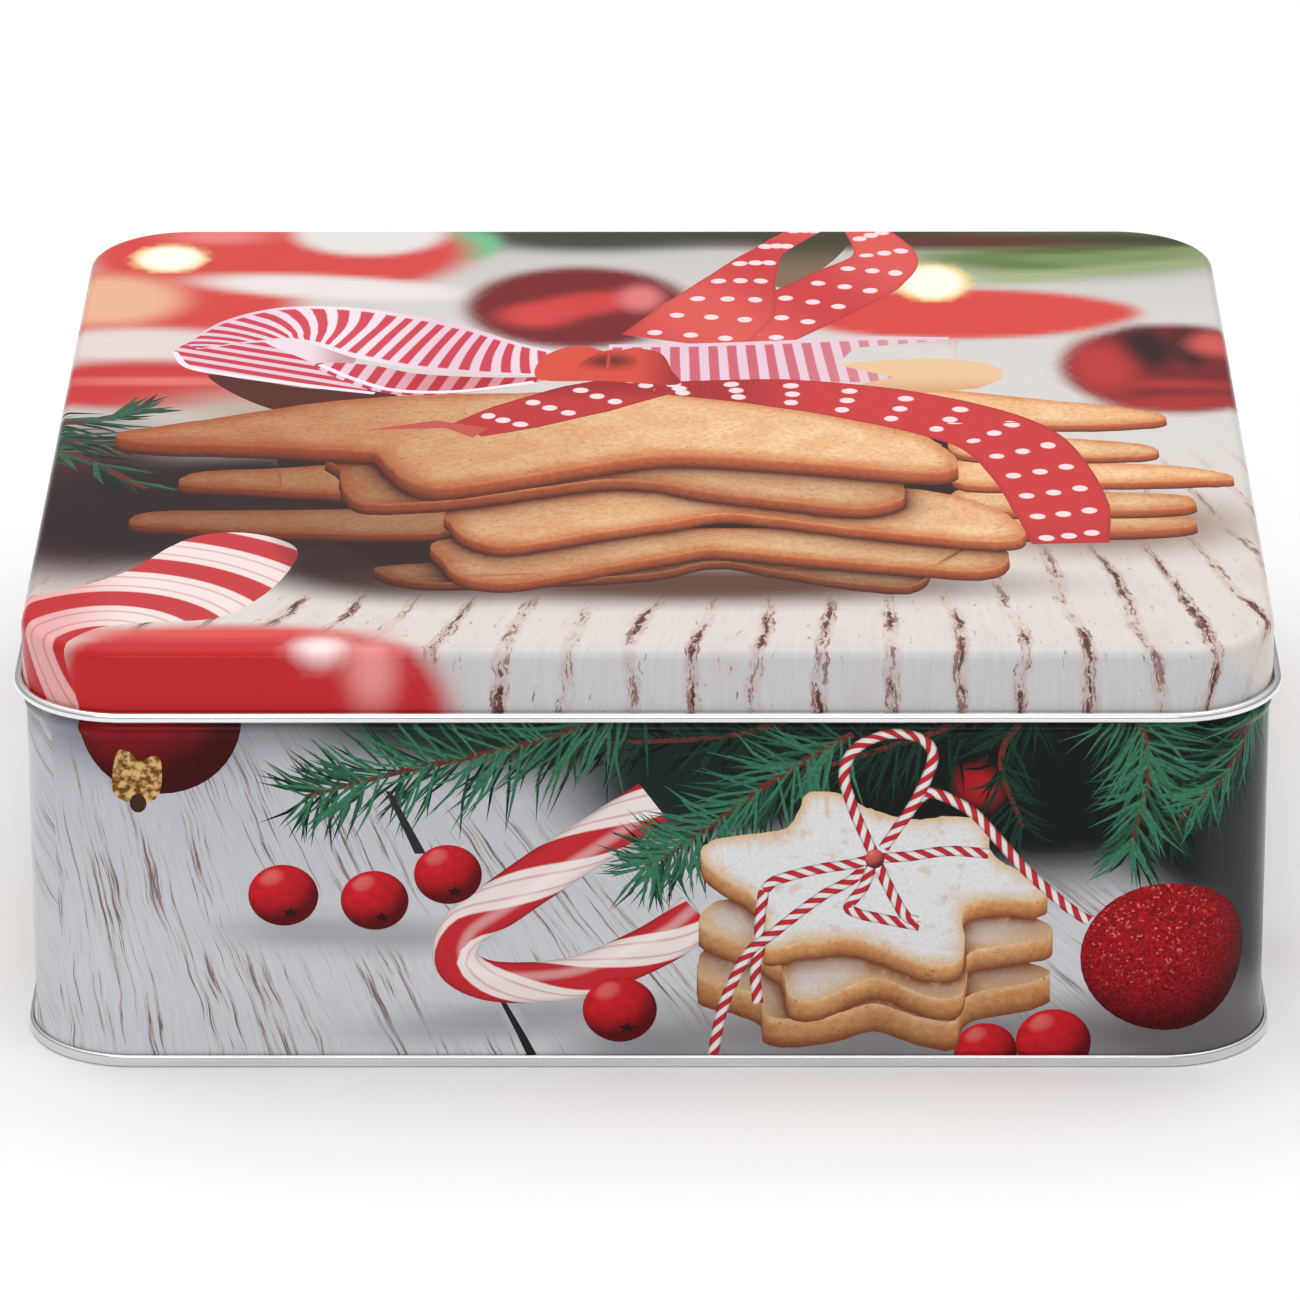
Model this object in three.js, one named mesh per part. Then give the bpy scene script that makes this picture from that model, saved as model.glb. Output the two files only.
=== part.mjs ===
// Square slip-lid cookie tin in thin tinplate: a drawn lid with a rolled rim, a seamed wall with a
// stop bead and a hemmed mouth, and a countersunk base folded onto the wall.
// Millimetres, +Z up. The origin is the centre of the footprint on the surface the tin stands on,
// and the front of the tin faces -Y. Every ring of the tin is the same rounded square, moved
// outwards or inwards by an offset measured from the wall's outer face.
import * as THREE from 'three';

// Driving dimensions
const WALL_SIDE = 220;
const WALL_CORNER_R = 18.3;
const TIN_HEIGHT = 79.7;
const SHEET = 0.28;
const CORNER_STEPS = 12;

// Lid
const LID_SKIRT_OFFSET = 0.5;
const LID_EDGE_R = 2;
const LID_DEPTH = 13.2;
const LID_CURL_R = 0.99;
const LID_CURL_START = 180;
const LID_CURL_END = 485;

// Body wall, measured outwards from its outer face and upwards from the ground
const WALL_BOTTOM_Z = 0.6;
const FLARE_OFFSET = 0.5;
const FLARE_START_Z = 2.5;
const FLARE_END_Z = 6;
const BEAD_OFFSET = 0.55;
const BEAD_HALF_HEIGHT = 1.8;
const BEAD_Z = 64.4;
const NECK_OFFSET = -0.45;
const NECK_START_Z = 66.6;

// Mouth hem, rolled inwards at the top of the neck
const HEM_R = 0.9;
const HEM_START = 0;
const HEM_END = 300;
const LID_CLEARANCE = 0.3;

// Side seam, on the inside of the front-left corner
const SIDE_SEAM_DEPTH = 0.3;
const SIDE_SEAM_BOTTOM_Z = 6.2;
const SIDE_SEAM_TOP_Z = 62.4;
const FRONT_LEFT_CORNER = 2;
const SIDE_SEAM_STEPS = 2;

// Base
const SEAM_OFFSET = 1.35;
const SEAM_HEIGHT = 2.3;
const SEAM_BOTTOM_R = 0.6;
const SEAM_TOP_R = 0.55;
const SEAM_LIP_OFFSET = 0.62;
const CHUCK_OFFSET = -0.35;
const PAN_HEIGHT = 3.18;
const PAN_EDGE_R = 0.8;
const PAN_STEP_OFFSET = -12.6;
const PAN_STEP_WIDTH = 1.4;
const PAN_STEP_RISE = 0.8;

// Heights worked out from the sizes above
const lidRimZ = TIN_HEIGHT - LID_DEPTH;
const lidCurlZ = lidRimZ + LID_CURL_R;
const mouthZ = TIN_HEIGHT - SHEET - LID_CLEARANCE;
const hemZ = mouthZ - HEM_R;

// Points of the rounded square at one offset, counterclockwise from above, from the +X+Y corner on
function outline(offset) {
  const centre = WALL_SIDE / 2 - WALL_CORNER_R;
  const radius = WALL_CORNER_R + offset;
  const signs = [[1, 1], [-1, 1], [-1, -1], [1, -1]];
  return signs.flatMap(([signX, signY], corner) =>
    Array.from({ length: CORNER_STEPS + 1 }, (_, step) => {
      const angle = (corner + step / CORNER_STEPS) * Math.PI / 2;
      return new THREE.Vector2(
        signX * centre + radius * Math.cos(angle),
        signY * centre + radius * Math.sin(angle),
      );
    }));
}

// An arc of a section, as [offset, z] points, with the angles in degrees
function arc(offset, z, radius, startDegrees, endDegrees, steps) {
  return Array.from({ length: steps + 1 }, (_, i) => {
    const angle = THREE.MathUtils.degToRad(startDegrees + (endDegrees - startDegrees) * i / steps);
    return [offset + radius * Math.cos(angle), z + radius * Math.sin(angle)];
  });
}

// A soft S from one offset to another between two heights
function blend(fromOffset, fromZ, toOffset, toZ, steps) {
  return Array.from({ length: steps + 1 }, (_, i) => {
    const share = i / steps;
    const eased = (1 - Math.cos(Math.PI * share)) / 2;
    return [fromOffset + (toOffset - fromOffset) * eased, fromZ + (toZ - fromZ) * share];
  });
}

function buildGeometry(positions, triangles) {
  const geometry = new THREE.BufferGeometry();
  geometry.setAttribute('position', new THREE.Float32BufferAttribute(positions.flat(), 3));
  geometry.setIndex(triangles.flat());
  geometry.computeVertexNormals();
  return geometry;
}

// Vertices of a section, counterclockwise with offset to the right, carried along outline points
// chosen by pick. They run section point by section point within each outline point.
function sweepPositions(section, pick) {
  const rings = section.map(([offset, z]) => pick(outline(offset)).map((p) => [p.x, p.y, z]));
  return rings[0].flatMap((_, i) => rings.map((ring) => ring[i]));
}

function bandTriangles(pathCount, sectionCount, pathIsClosed, sectionIsClosed) {
  const pathBands = pathIsClosed ? pathCount : pathCount - 1;
  const sectionBands = sectionIsClosed ? sectionCount : sectionCount - 1;
  const triangles = [];
  for (let i = 0; i < pathBands; i += 1) {
    const here = i * sectionCount;
    const next = ((i + 1) % pathCount) * sectionCount;
    for (let j = 0; j < sectionBands; j += 1) {
      const k = (j + 1) % sectionCount;
      triangles.push([here + j, next + j, next + k], [here + j, next + k, here + k]);
    }
  }
  return triangles;
}

// A closed section carried all the way round the tin
function ringGeometry(section) {
  const positions = sweepPositions(section, (points) => points);
  const pathCount = positions.length / section.length;
  return buildGeometry(positions, bandTriangles(pathCount, section.length, true, true));
}

// A pan: the section runs from the underside of the flat panel, round the edge, to its top face
function panGeometry(section) {
  const positions = sweepPositions(section, (points) => points);
  const count = section.length;
  const triangles = bandTriangles(positions.length / count, count, true, false);
  const underside = THREE.ShapeUtils.triangulateShape(outline(section[0][0]), []);
  const topFace = THREE.ShapeUtils.triangulateShape(outline(section[count - 1][0]), []);
  triangles.push(...underside.map(([a, b, c]) => [c * count, b * count, a * count]));
  triangles.push(...topFace.map((face) => face.map((i) => i * count + count - 1)));
  return buildGeometry(positions, triangles);
}

// A short convex strip of a section, with flat ends, along a few neighbouring outline points
function stripGeometry(section, firstPoint, lastPoint) {
  const positions = sweepPositions(section, (points) => points.slice(firstPoint, lastPoint + 1));
  const count = section.length;
  const triangles = bandTriangles(positions.length / count, count, false, true);
  const lastRow = positions.length - count;
  for (let j = 1; j < count - 1; j += 1) {
    triangles.push([0, j, j + 1], [lastRow, lastRow + j + 1, lastRow + j]);
  }
  return buildGeometry(positions, triangles);
}

// The sheet rolled into an open C, with its hollow reached by the slot it leaves
function rolledEdgeSection(offset, z, radius, startDegrees, endDegrees) {
  const outer = arc(offset, z, radius, startDegrees, endDegrees, 12);
  const inner = arc(offset, z, radius - SHEET, endDegrees, startDegrees, 12);
  return [...outer, ...inner];
}

function lidShell() {
  const edgeOffset = LID_SKIRT_OFFSET - LID_EDGE_R;
  const edgeZ = TIN_HEIGHT - LID_EDGE_R;
  return panGeometry([
    ...arc(edgeOffset, edgeZ, LID_EDGE_R - SHEET, 90, 0, 4),
    [LID_SKIRT_OFFSET - SHEET, lidCurlZ],
    [LID_SKIRT_OFFSET, lidCurlZ],
    ...arc(edgeOffset, edgeZ, LID_EDGE_R, 0, 90, 5),
  ]);
}

function lidRimCurl() {
  const curlOffset = LID_SKIRT_OFFSET - SHEET + LID_CURL_R;
  return ringGeometry(
    rolledEdgeSection(curlOffset, lidCurlZ, LID_CURL_R, LID_CURL_START, LID_CURL_END));
}

function bodyWall() {
  const outerFace = [
    [FLARE_OFFSET, WALL_BOTTOM_Z],
    ...blend(FLARE_OFFSET, FLARE_START_Z, 0, FLARE_END_Z, 4),
    ...blend(0, BEAD_Z - BEAD_HALF_HEIGHT, BEAD_OFFSET, BEAD_Z, 4),
    ...blend(BEAD_OFFSET, BEAD_Z, NECK_OFFSET, NECK_START_Z, 5).slice(1),
    [NECK_OFFSET, hemZ],
  ];
  const innerFace = outerFace.map(([offset, z]) => [offset - SHEET, z]).reverse();
  return ringGeometry([...outerFace, ...innerFace]);
}

function bodyMouthHem() {
  return ringGeometry(
    rolledEdgeSection(NECK_OFFSET - HEM_R, hemZ, HEM_R, HEM_START, HEM_END));
}

function bodySideSeam() {
  const middle = FRONT_LEFT_CORNER * (CORNER_STEPS + 1) + CORNER_STEPS / 2;
  const outer = -SHEET;
  const inner = outer - SIDE_SEAM_DEPTH;
  const section = [
    [inner, SIDE_SEAM_BOTTOM_Z],
    [outer, SIDE_SEAM_BOTTOM_Z],
    [outer, SIDE_SEAM_TOP_Z],
    [inner, SIDE_SEAM_TOP_Z],
  ];
  return stripGeometry(section, middle - SIDE_SEAM_STEPS / 2, middle + SIDE_SEAM_STEPS / 2);
}

function basePanel() {
  const outer = CHUCK_OFFSET;
  const inner = CHUCK_OFFSET - SHEET;
  const edgeOffset = outer - PAN_EDGE_R;
  const edgeZ = PAN_HEIGHT - PAN_EDGE_R;
  const stepEnd = PAN_STEP_OFFSET - PAN_STEP_WIDTH;
  return panGeometry([
    [stepEnd, PAN_HEIGHT + PAN_STEP_RISE - SHEET],
    [PAN_STEP_OFFSET, PAN_HEIGHT - SHEET],
    ...arc(edgeOffset, edgeZ, PAN_EDGE_R - SHEET, 90, 0, 3),
    [inner, SHEET],
    [outer, SHEET],
    ...arc(edgeOffset, edgeZ, PAN_EDGE_R, 0, 90, 3),
    [PAN_STEP_OFFSET + SHEET / 2, PAN_HEIGHT],
    [stepEnd + SHEET / 2, PAN_HEIGHT + PAN_STEP_RISE],
  ]);
}

// The folded seam: a flat land to stand on, turned up and over the flared bottom of the wall
function baseSeamRing() {
  const inner = CHUCK_OFFSET - SHEET;
  const bottomCentre = SEAM_OFFSET - SEAM_BOTTOM_R;
  const topCentre = SEAM_OFFSET - SEAM_TOP_R;
  const topZ = SEAM_HEIGHT - SEAM_TOP_R;
  return ringGeometry([
    ...arc(inner + SHEET, SHEET, SHEET, 180, 270, 3),
    ...arc(bottomCentre, SEAM_BOTTOM_R, SEAM_BOTTOM_R, 270, 360, 4),
    ...arc(topCentre, topZ, SEAM_TOP_R, 0, 90, 4),
    [SEAM_LIP_OFFSET, SEAM_HEIGHT],
    [SEAM_LIP_OFFSET, SEAM_HEIGHT - SHEET],
    ...arc(topCentre, topZ, SEAM_TOP_R - SHEET, 90, 0, 3),
    ...arc(bottomCentre, SEAM_BOTTOM_R, SEAM_BOTTOM_R - SHEET, 360, 270, 3),
    [CHUCK_OFFSET, SHEET],
  ]);
}

function part(name, geometry, colour, roughness, metalness) {
  const material = new THREE.MeshStandardMaterial({ color: colour, roughness, metalness });
  const mesh = new THREE.Mesh(geometry, material);
  mesh.name = name;
  return mesh;
}

const PRINT_WHITE = 0xcfccc8;
const PRINT_BLUE_WHITE = 0xb9bfc4;
const TINPLATE = 0xc3c5c6;

const lid = new THREE.Group();
lid.add(
  part('lid_shell', lidShell(), PRINT_WHITE, 0.18, 0.1),
  part('lid_rim_curl', lidRimCurl(), TINPLATE, 0.25, 1),
);

const body = new THREE.Group();
body.add(
  part('body_wall', bodyWall(), PRINT_BLUE_WHITE, 0.18, 0.1),
  part('body_side_seam', bodySideSeam(), TINPLATE, 0.3, 1),
  part('body_mouth_hem', bodyMouthHem(), TINPLATE, 0.25, 1),
  part('base_panel', basePanel(), TINPLATE, 0.3, 1),
  part('base_seam_ring', baseSeamRing(), TINPLATE, 0.25, 1),
);

const tin = new THREE.Group();
tin.add(lid, body);

export default tin;
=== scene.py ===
import math
import random

import bpy
import numpy as np
from mathutils import Euler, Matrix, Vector
from mathutils.geometry import delaunay_2d_cdt


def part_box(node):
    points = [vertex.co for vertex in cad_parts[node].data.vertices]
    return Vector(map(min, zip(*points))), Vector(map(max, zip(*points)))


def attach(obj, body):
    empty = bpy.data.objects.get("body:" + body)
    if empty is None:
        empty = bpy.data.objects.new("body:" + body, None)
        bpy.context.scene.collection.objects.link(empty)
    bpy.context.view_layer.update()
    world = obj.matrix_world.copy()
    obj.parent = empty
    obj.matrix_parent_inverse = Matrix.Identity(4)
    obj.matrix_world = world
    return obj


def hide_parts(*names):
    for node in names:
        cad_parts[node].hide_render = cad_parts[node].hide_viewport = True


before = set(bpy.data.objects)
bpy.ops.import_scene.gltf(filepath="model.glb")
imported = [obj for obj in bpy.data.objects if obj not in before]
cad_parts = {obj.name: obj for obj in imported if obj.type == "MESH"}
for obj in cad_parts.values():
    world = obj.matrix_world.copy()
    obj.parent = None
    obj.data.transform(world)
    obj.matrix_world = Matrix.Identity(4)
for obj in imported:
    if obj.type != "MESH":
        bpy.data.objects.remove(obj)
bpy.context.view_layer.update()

# The printed tin's looks. Each print is a flat drawing in millimetres, made of patches that lie
# one over another. It is cut into one mesh of triangles, and the mesh is folded onto the metal.
# Every patch names an ink, which is a node material, and gives its own shading as corner colours.

MM = 0.001

# Sizes of the metalwork, in millimetres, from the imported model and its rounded-square plan
HALF_SIDE = 110.0
CORNER_R = 18.3
SHEET = 0.28
LID_EDGE_R = 2.0
FLAT = HALF_SIDE - CORNER_R
CORNER_ARC = CORNER_R * math.pi / 2
SIDE_PITCH = 2 * FLAT + CORNER_ARC


def box_mm(node):
    low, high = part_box(node)
    return np.array(low) / MM, np.array(high) / MM


lid_low, lid_high = box_mm("lid_shell")
curl_low, curl_high = box_mm("lid_rim_curl")
wall_low, _ = box_mm("body_wall")
hem_low, hem_high = box_mm("body_mouth_hem")
_, pan_high = box_mm("base_panel")
_, seam_high = box_mm("base_seam_ring")
LID_TOP = lid_high[2]
LID_RIM = lid_low[2]
LID_OFFSET = lid_high[0] - HALF_SIDE


# ---------------------------------------------------------------------------------------------
# Camera, floor and light

CAMERA_PLACE = (0.0069, -1.4273, 0.6222)
CAMERA_PITCH, CAMERA_ROLL, CAMERA_HEADING = 90 - 22.38, 0.115, 0.231
LENS, SENSOR = 226.4, 36


def build_camera():
    """The photograph's view, fitted to the tin's outline together with its proportions."""
    camera = bpy.data.objects.new("camera", bpy.data.cameras.new("camera"))
    bpy.context.scene.collection.objects.link(camera)
    camera.location = CAMERA_PLACE
    turns = [math.radians(angle) for angle in (CAMERA_PITCH, CAMERA_ROLL, CAMERA_HEADING)]
    camera.rotation_euler = Euler(turns, "XYZ")
    camera.data.sensor_width = SENSOR
    camera.data.lens = LENS
    camera.data.clip_end = 20
    bpy.context.scene.camera = camera


def area_light(name, location, target, size, power):
    data = bpy.data.lights.new(name, "AREA")
    data.shape = "RECTANGLE"
    data.size, data.size_y = size
    data.energy = power
    light = bpy.data.objects.new(name, data)
    bpy.context.scene.collection.objects.link(light)
    light.location = location
    direction = Vector(target) - Vector(location)
    light.rotation_euler = direction.to_track_quat("-Z", "Y").to_euler()


def build_studio():
    """Two soft boxes, in a white room that is darker towards the horizon and below it."""
    area_light("top_softbox", (0, 0.25, 1.7), (0, 0, 0), (1.9, 1.5), 12)
    area_light("front_softbox", (-0.35, -1.9, 1.3), (0, 0, 0.03), (1.5, 0.7), 7)
    world = bpy.data.worlds.new("studio")
    world.use_nodes = True
    nodes, links = world.node_tree.nodes, world.node_tree.links
    way = nodes.new("ShaderNodeTexCoord")
    parts = nodes.new("ShaderNodeSeparateXYZ")
    links.new(way.outputs["Generated"], parts.inputs[0])
    rise = nodes.new("ShaderNodeMapRange")
    for name, value in (("From Min", 0.3), ("From Max", 0.7), ("To Min", 0.35), ("To Max", 0.9)):
        rise.inputs[name].default_value = value
    links.new(parts.outputs["Z"], rise.inputs["Value"])
    links.new(rise.outputs[0], nodes["Background"].inputs["Strength"])
    nodes["Background"].inputs["Color"].default_value = (1.0, 1.0, 1.0, 1.0)
    bpy.context.scene.world = world
    bpy.context.scene.view_settings.view_transform = "Standard"


# ---------------------------------------------------------------------------------------------
# Colours and node materials


def rgb(red, green, blue):
    """A colour given as 0 to 255 on screen, as the linear values the shader works in."""
    screen = np.array([red, green, blue]) / 255
    return np.where(screen <= 0.04045, screen / 12.92, ((screen + 0.055) / 1.055) ** 2.4)


class Value:
    """A node's output. Python's operators reckon with it by adding nodes."""

    def __init__(self, shader, socket):
        self.shader = shader
        self.socket = socket

    def __add__(self, other):
        return self.shader.math("ADD", self, other)

    def __sub__(self, other):
        return self.shader.math("SUBTRACT", self, other)

    def __rsub__(self, other):
        return self.shader.math("SUBTRACT", other, self)

    def __mul__(self, other):
        return self.shader.math("MULTIPLY", self, other)

    def __truediv__(self, other):
        return self.shader.math("DIVIDE", self, other)

    def __abs__(self):
        return self.shader.math("ABSOLUTE", self)

    def off_middle(self):
        """How far this is from the middle of the whole turn it is in, from 0 to 0.5."""
        return abs(self.shader.math("FRACT", self) - 0.5)

    def step(self, low, high, to_low=0.0, to_high=1.0):
        """A smooth step, from to_low where this is low to to_high where it is high."""
        inputs = {0: self, 1: low, 2: high, 3: to_low, 4: to_high}
        return self.shader.add("MapRange", inputs, interpolation_type="SMOOTHSTEP")

    def mix(self, factor, other, blend="MIX"):
        return self.shader.mix(factor, self, other, blend)

    def times(self, other):
        return self.mix(1.0, other, "MULTIPLY")

    def tint(self, amount):
        """This colour made lighter or darker by a factor."""
        grey = self.shader.add("CombineXYZ", {0: amount, 1: amount, 2: amount})
        return self.shader.add("VectorMath", {0: self, 1: grey}, operation="MULTIPLY")


class Shader:
    """A node material, built up by short calls that each return a value."""

    def __init__(self, name):
        self.material = bpy.data.materials.new(name)
        self.material.use_nodes = True
        self.tree = self.material.node_tree
        self.tree.nodes.clear()
        output = self.tree.nodes.new("ShaderNodeOutputMaterial")
        self.surface = self.tree.nodes.new("ShaderNodeBsdfPrincipled")
        self.tree.links.new(self.surface.outputs[0], output.inputs["Surface"])

    def plug(self, socket, value):
        if isinstance(value, Value):
            self.tree.links.new(value.socket, socket)
        elif isinstance(value, np.ndarray):
            socket.default_value = (*value, 1)
        else:
            socket.default_value = value

    def add(self, kind, inputs, output=0, **settings):
        node = self.tree.nodes.new("ShaderNode" + kind)
        for key, value in settings.items():
            setattr(node, key, value)
        for key, value in inputs.items():
            self.plug(node.inputs[key], value)
        return Value(self, node.outputs[output])

    def finish(self, **values):
        for key, value in values.items():
            self.plug(self.surface.inputs[key.replace("_", " ").title().replace("Ior", "IOR")], value)
        return self.material

    def math(self, operation, *values):
        return self.add("Math", dict(enumerate(values)), operation=operation)

    def mix(self, factor, first, second, blend="MIX"):
        inputs = {0: factor, 6: first, 7: second}
        return self.add("Mix", inputs, 2, data_type="RGBA", blend_type=blend)

    def noise(self, vector, scale, detail=2.0, roughness=0.5):
        inputs = {"Vector": vector, "Scale": scale, "Detail": detail, "Roughness": roughness}
        return self.add("TexNoise", inputs)

    def grain(self, vector, x, y, detail, roughness=0.5, z=1.0):
        """Noise with its own scale along each axis."""
        scaled = self.add("VectorMath", {0: vector, 1: (x, y, z)}, operation="MULTIPLY")
        return self.noise(scaled, 1, detail, roughness)

    def cells(self, vector, scale, output="Distance"):
        return self.add("TexVoronoi", {"Vector": vector, "Scale": scale}, output)

    def place(self):
        """The patch's own place on the print, from its UV map."""
        return self.add("UVMap", {}, uv_map="place")

    def solid_place(self):
        return self.add("TexCoord", {}, "Object")

    def split(self, vector):
        outputs = self.add("SeparateXYZ", {0: vector}).socket.node.outputs
        return Value(self, outputs[0]), Value(self, outputs[1])

    def join(self, x, y):
        return self.add("CombineXYZ", {0: x, 1: y})

    def paint(self, output="Color"):
        """The patch's own shading, from the mesh's corner colours."""
        return self.add("Attribute", {}, output, attribute_name="paint")


def soft_ink(ink):
    """Out-of-focus background: the paint with the faint mottle of fine halftone printing."""
    return ink.paint().tint(ink.noise(ink.place(), 2.2).step(0.2, 0.8, 0.97, 1.03))


def lid_wood_ink(ink):
    """Whitewashed boards: rows of deep broken cracks with worn brown edges, a board's grain apart.
    The paint's alpha says how sharp the wood is, down to none in the blurred background."""
    row_pitch = 10.8
    place = ink.place()
    across, along = ink.split(place)
    wander = ink.grain(place, 0.03, 0.05, 2)
    jag = ink.grain(place, 0.45, 0.3, 3, 0.7)
    bent = across + wander * 7.0 + jag * 2.4
    row = bent / row_pitch
    off = row.off_middle()
    depth = ink.noise(ink.join(ink.math("FLOOR", row) * 7.31, along * 0.07), 1, 3, 0.65)
    zone = off.step(0.06, 0.17, 1.0, 0.0) * depth.step(0.3, 0.6, 0.3, 1.0)
    lines = (zone * 0.15 + ink.grain(ink.join(bent, along), 1.25, 0.13, 4, 0.7)).step(0.64, 0.68)
    chips = ink.grain(place, 0.8, 0.4, 3, 0.7)
    core = (off - depth.step(0.4, 0.7, -0.02, 0.045)).step(0.0, 0.02, 1.0, 0.0) * chips.step(0.36, 0.48)
    fine = ink.grain(place, 1.1, 0.08, 3, 0.6)
    chalk = ink.grain(place, 0.12, 0.05, 3, 0.6)
    body = ink.paint().tint(fine.step(0.25, 0.75, 0.95, 1.02))
    body = body.mix(chalk.step(0.45, 0.75, 0.0, 0.35), rgb(206, 190, 182))
    body = body.mix(zone * chips.step(0.3, 0.62, 0.1, 0.62), rgb(190, 148, 134))
    body = body.mix(lines * 0.75, rgb(122, 72, 62))
    body = body.mix(core * 0.9, rgb(84, 40, 36))
    return ink.paint().mix(ink.paint("Alpha"), body)


def wall_wood_ink(ink):
    """Pale painted boards seen close: long fine grain with short worn streaks in clusters."""
    place = ink.place()
    across, along = ink.split(place)
    lengthwise = ink.join(across + ink.grain(place, 0.04, 0.05, 2) * 6.0, along)
    fine = ink.grain(lengthwise, 1.5, 0.07, 3, 0.65)
    streak = ink.grain(lengthwise, 1.05, 0.04, 4, 0.7)
    cluster = ink.grain(lengthwise, 0.13, 0.022, 2)
    reach = streak + cluster.step(0.36, 0.66) * 0.11
    body = ink.paint().tint(fine.step(0.25, 0.75, 0.92, 1.03))
    body = body.mix(reach.step(0.6, 0.64) * 0.5, rgb(158, 138, 134))
    body = body.mix(reach.step(0.655, 0.69) * 0.8, rgb(98, 76, 74))
    return ink.paint().mix(ink.paint("Alpha"), body)


def dough_ink(ink):
    """Baked gingerbread: pitted crumb, dark spice specks and pale floury patches."""
    place = ink.place()
    colour = ink.paint().tint(ink.noise(place, 0.75, 5, 0.75).step(0.22, 0.74, 0.74, 1.14))
    warm = ink.noise(place, 0.11, 3).step(0.35, 0.68, 0.45, 0.0)
    colour = colour.mix(warm, colour.times(rgb(240, 196, 164)))
    speck = 1.0 - ink.cells(place, 0.42).step(0.06, 0.16)
    return colour.mix(speck * 0.5, rgb(120, 58, 28))


def sugar_ink(ink):
    """Icing sugar sifted over dough: powder, thinner in small patches and at the grains."""
    place = ink.place()
    colour = ink.paint().tint(ink.noise(place, 1.5, 4, 0.75).step(0.3, 0.7, 0.9, 1.05))
    bare = ink.noise(place, 0.28, 3, 0.6).step(0.56, 0.68)
    return colour.mix(bare * 0.4, rgb(205, 165, 118))


def dotted_ink(ink):
    """Red grosgrain with three rows of white dots. u runs along the ribbon in millimetres and v
    across it from -1 to 1. The paint's alpha is half the ribbon's width there, in centimetres."""
    pitch, radius = 10.8, 1.45
    rows = ((-0.56, 0.0), (0.0, 0.08), (0.56, 0.2))
    along, across = ink.split(ink.place())
    half = ink.paint("Alpha") * (10.0 / radius)
    rib = ink.math("SINE", across * 2.0 + along * 6.5)
    dots = 0.0
    for row, shift in rows:
        du = (ink.math("FRACT", along / pitch + shift) - 0.5) * (pitch / radius)
        dv = (across - row) * half
        dots = ink.math("MAXIMUM", dots, (du * du + dv * dv).step(0.7, 1.2, 1.0, 0.0))
    cloth = ink.paint().tint(rib.step(-1, 1, 0.92, 1.05)).tint(abs(across).step(0.88, 0.96, 1.0, 0.84))
    return cloth.mix(dots, ink.paint().mix(0.82, rgb(252, 238, 240)))


def striped_ink(ink):
    """White satin ribbon with narrow red cross stripes and plain white selvedges. The paint's
    alpha says how strong the stripes are."""
    pitch = 3.7
    along, across = ink.split(ink.place())
    waver = ink.noise(ink.place(), 0.35)
    stripe = 1.0 - ((along + waver * 0.5) / pitch).off_middle().step(0.22, 0.3)
    stripe = stripe * abs(across).step(0.82, 0.88, 1.0, 0.0) * ink.paint("Alpha")
    thread = ink.math("SINE", along * 11.0)
    white = ink.paint().tint(thread.step(-1, 1, 0.95, 1.03))
    return white.mix(stripe, ink.paint().times(rgb(222, 78, 92)))


def candy_ink(ink, pitch, twist, share):
    """Sugar cane: red helical stripes on white, round in section, with a gloss line. u is along
    the cane, in steps of its band's unit, and v across it from -1 to 1."""
    hair_at, gloss_at = 0.37, 0.3
    along, across = ink.split(ink.place())
    phase = (ink.math("ARCSINE", across * 0.98) * twist + along / pitch).off_middle()
    broad = phase.step(share - 0.02, share + 0.02, 1.0, 0.0)
    hair = abs(phase - hair_at).step(0.012, 0.03, 0.4, 0.0)
    colour = ink.mix(ink.math("MAXIMUM", broad, hair), rgb(238, 228, 226), rgb(196, 40, 50))
    depth = ink.math("SQRT", 1.02 - across * across)
    colour = colour.tint(depth.step(0.1, 0.8, 0.55, 1.0))
    gloss = abs(across - gloss_at).step(0.05, 0.35, 0.3, 0.0)
    return colour.mix(gloss, rgb(255, 250, 248)).times(ink.paint())


def twine_ink(ink):
    """Baker's twine: two red and white strands laid round each other."""
    pitch = 3.3
    along, across = ink.split(ink.place())
    phase = (across * 0.42 + along / pitch).off_middle()
    colour = ink.mix(phase.step(0.22, 0.28), rgb(236, 230, 226), rgb(196, 40, 52))
    groove = abs(phase - 0.25).step(0.0, 0.1, 0.72, 1.0)
    return colour.tint(groove).tint(abs(across).step(0.45, 1.0, 1.0, 0.5)).times(ink.paint())


def needle_ink(ink):
    """Fir needles and twigs: the paint, lightly streaked."""
    return ink.paint().tint(ink.noise(ink.place(), 1.3).step(0.25, 0.75, 0.75, 1.2))


def ball_shade(ink, light):
    """How squarely each point of a ball, drawn as a unit disc, faces the light."""
    x, y = ink.split(ink.place())
    z = ink.math("SQRT", ink.math("MAXIMUM", 1.0 - (x * x + y * y), 0.0))
    return x * light[0] + y * light[1] + z * light[2]


def berry_ink(ink):
    """A shiny red berry: mottled skin, dark away from the light, with a soft highlight."""
    facing = ball_shade(ink, (-0.35, 0.62, 0.70))
    skin = ink.noise(ink.place(), 3.2, 3)
    colour = ink.paint().tint(facing.step(-0.1, 0.95, 0.18, 1.1)).tint(skin.step(0.3, 0.7, 0.85, 1.1))
    return colour.mix(facing.step(0.9, 1.0) * 0.28, rgb(250, 170, 160))


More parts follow.
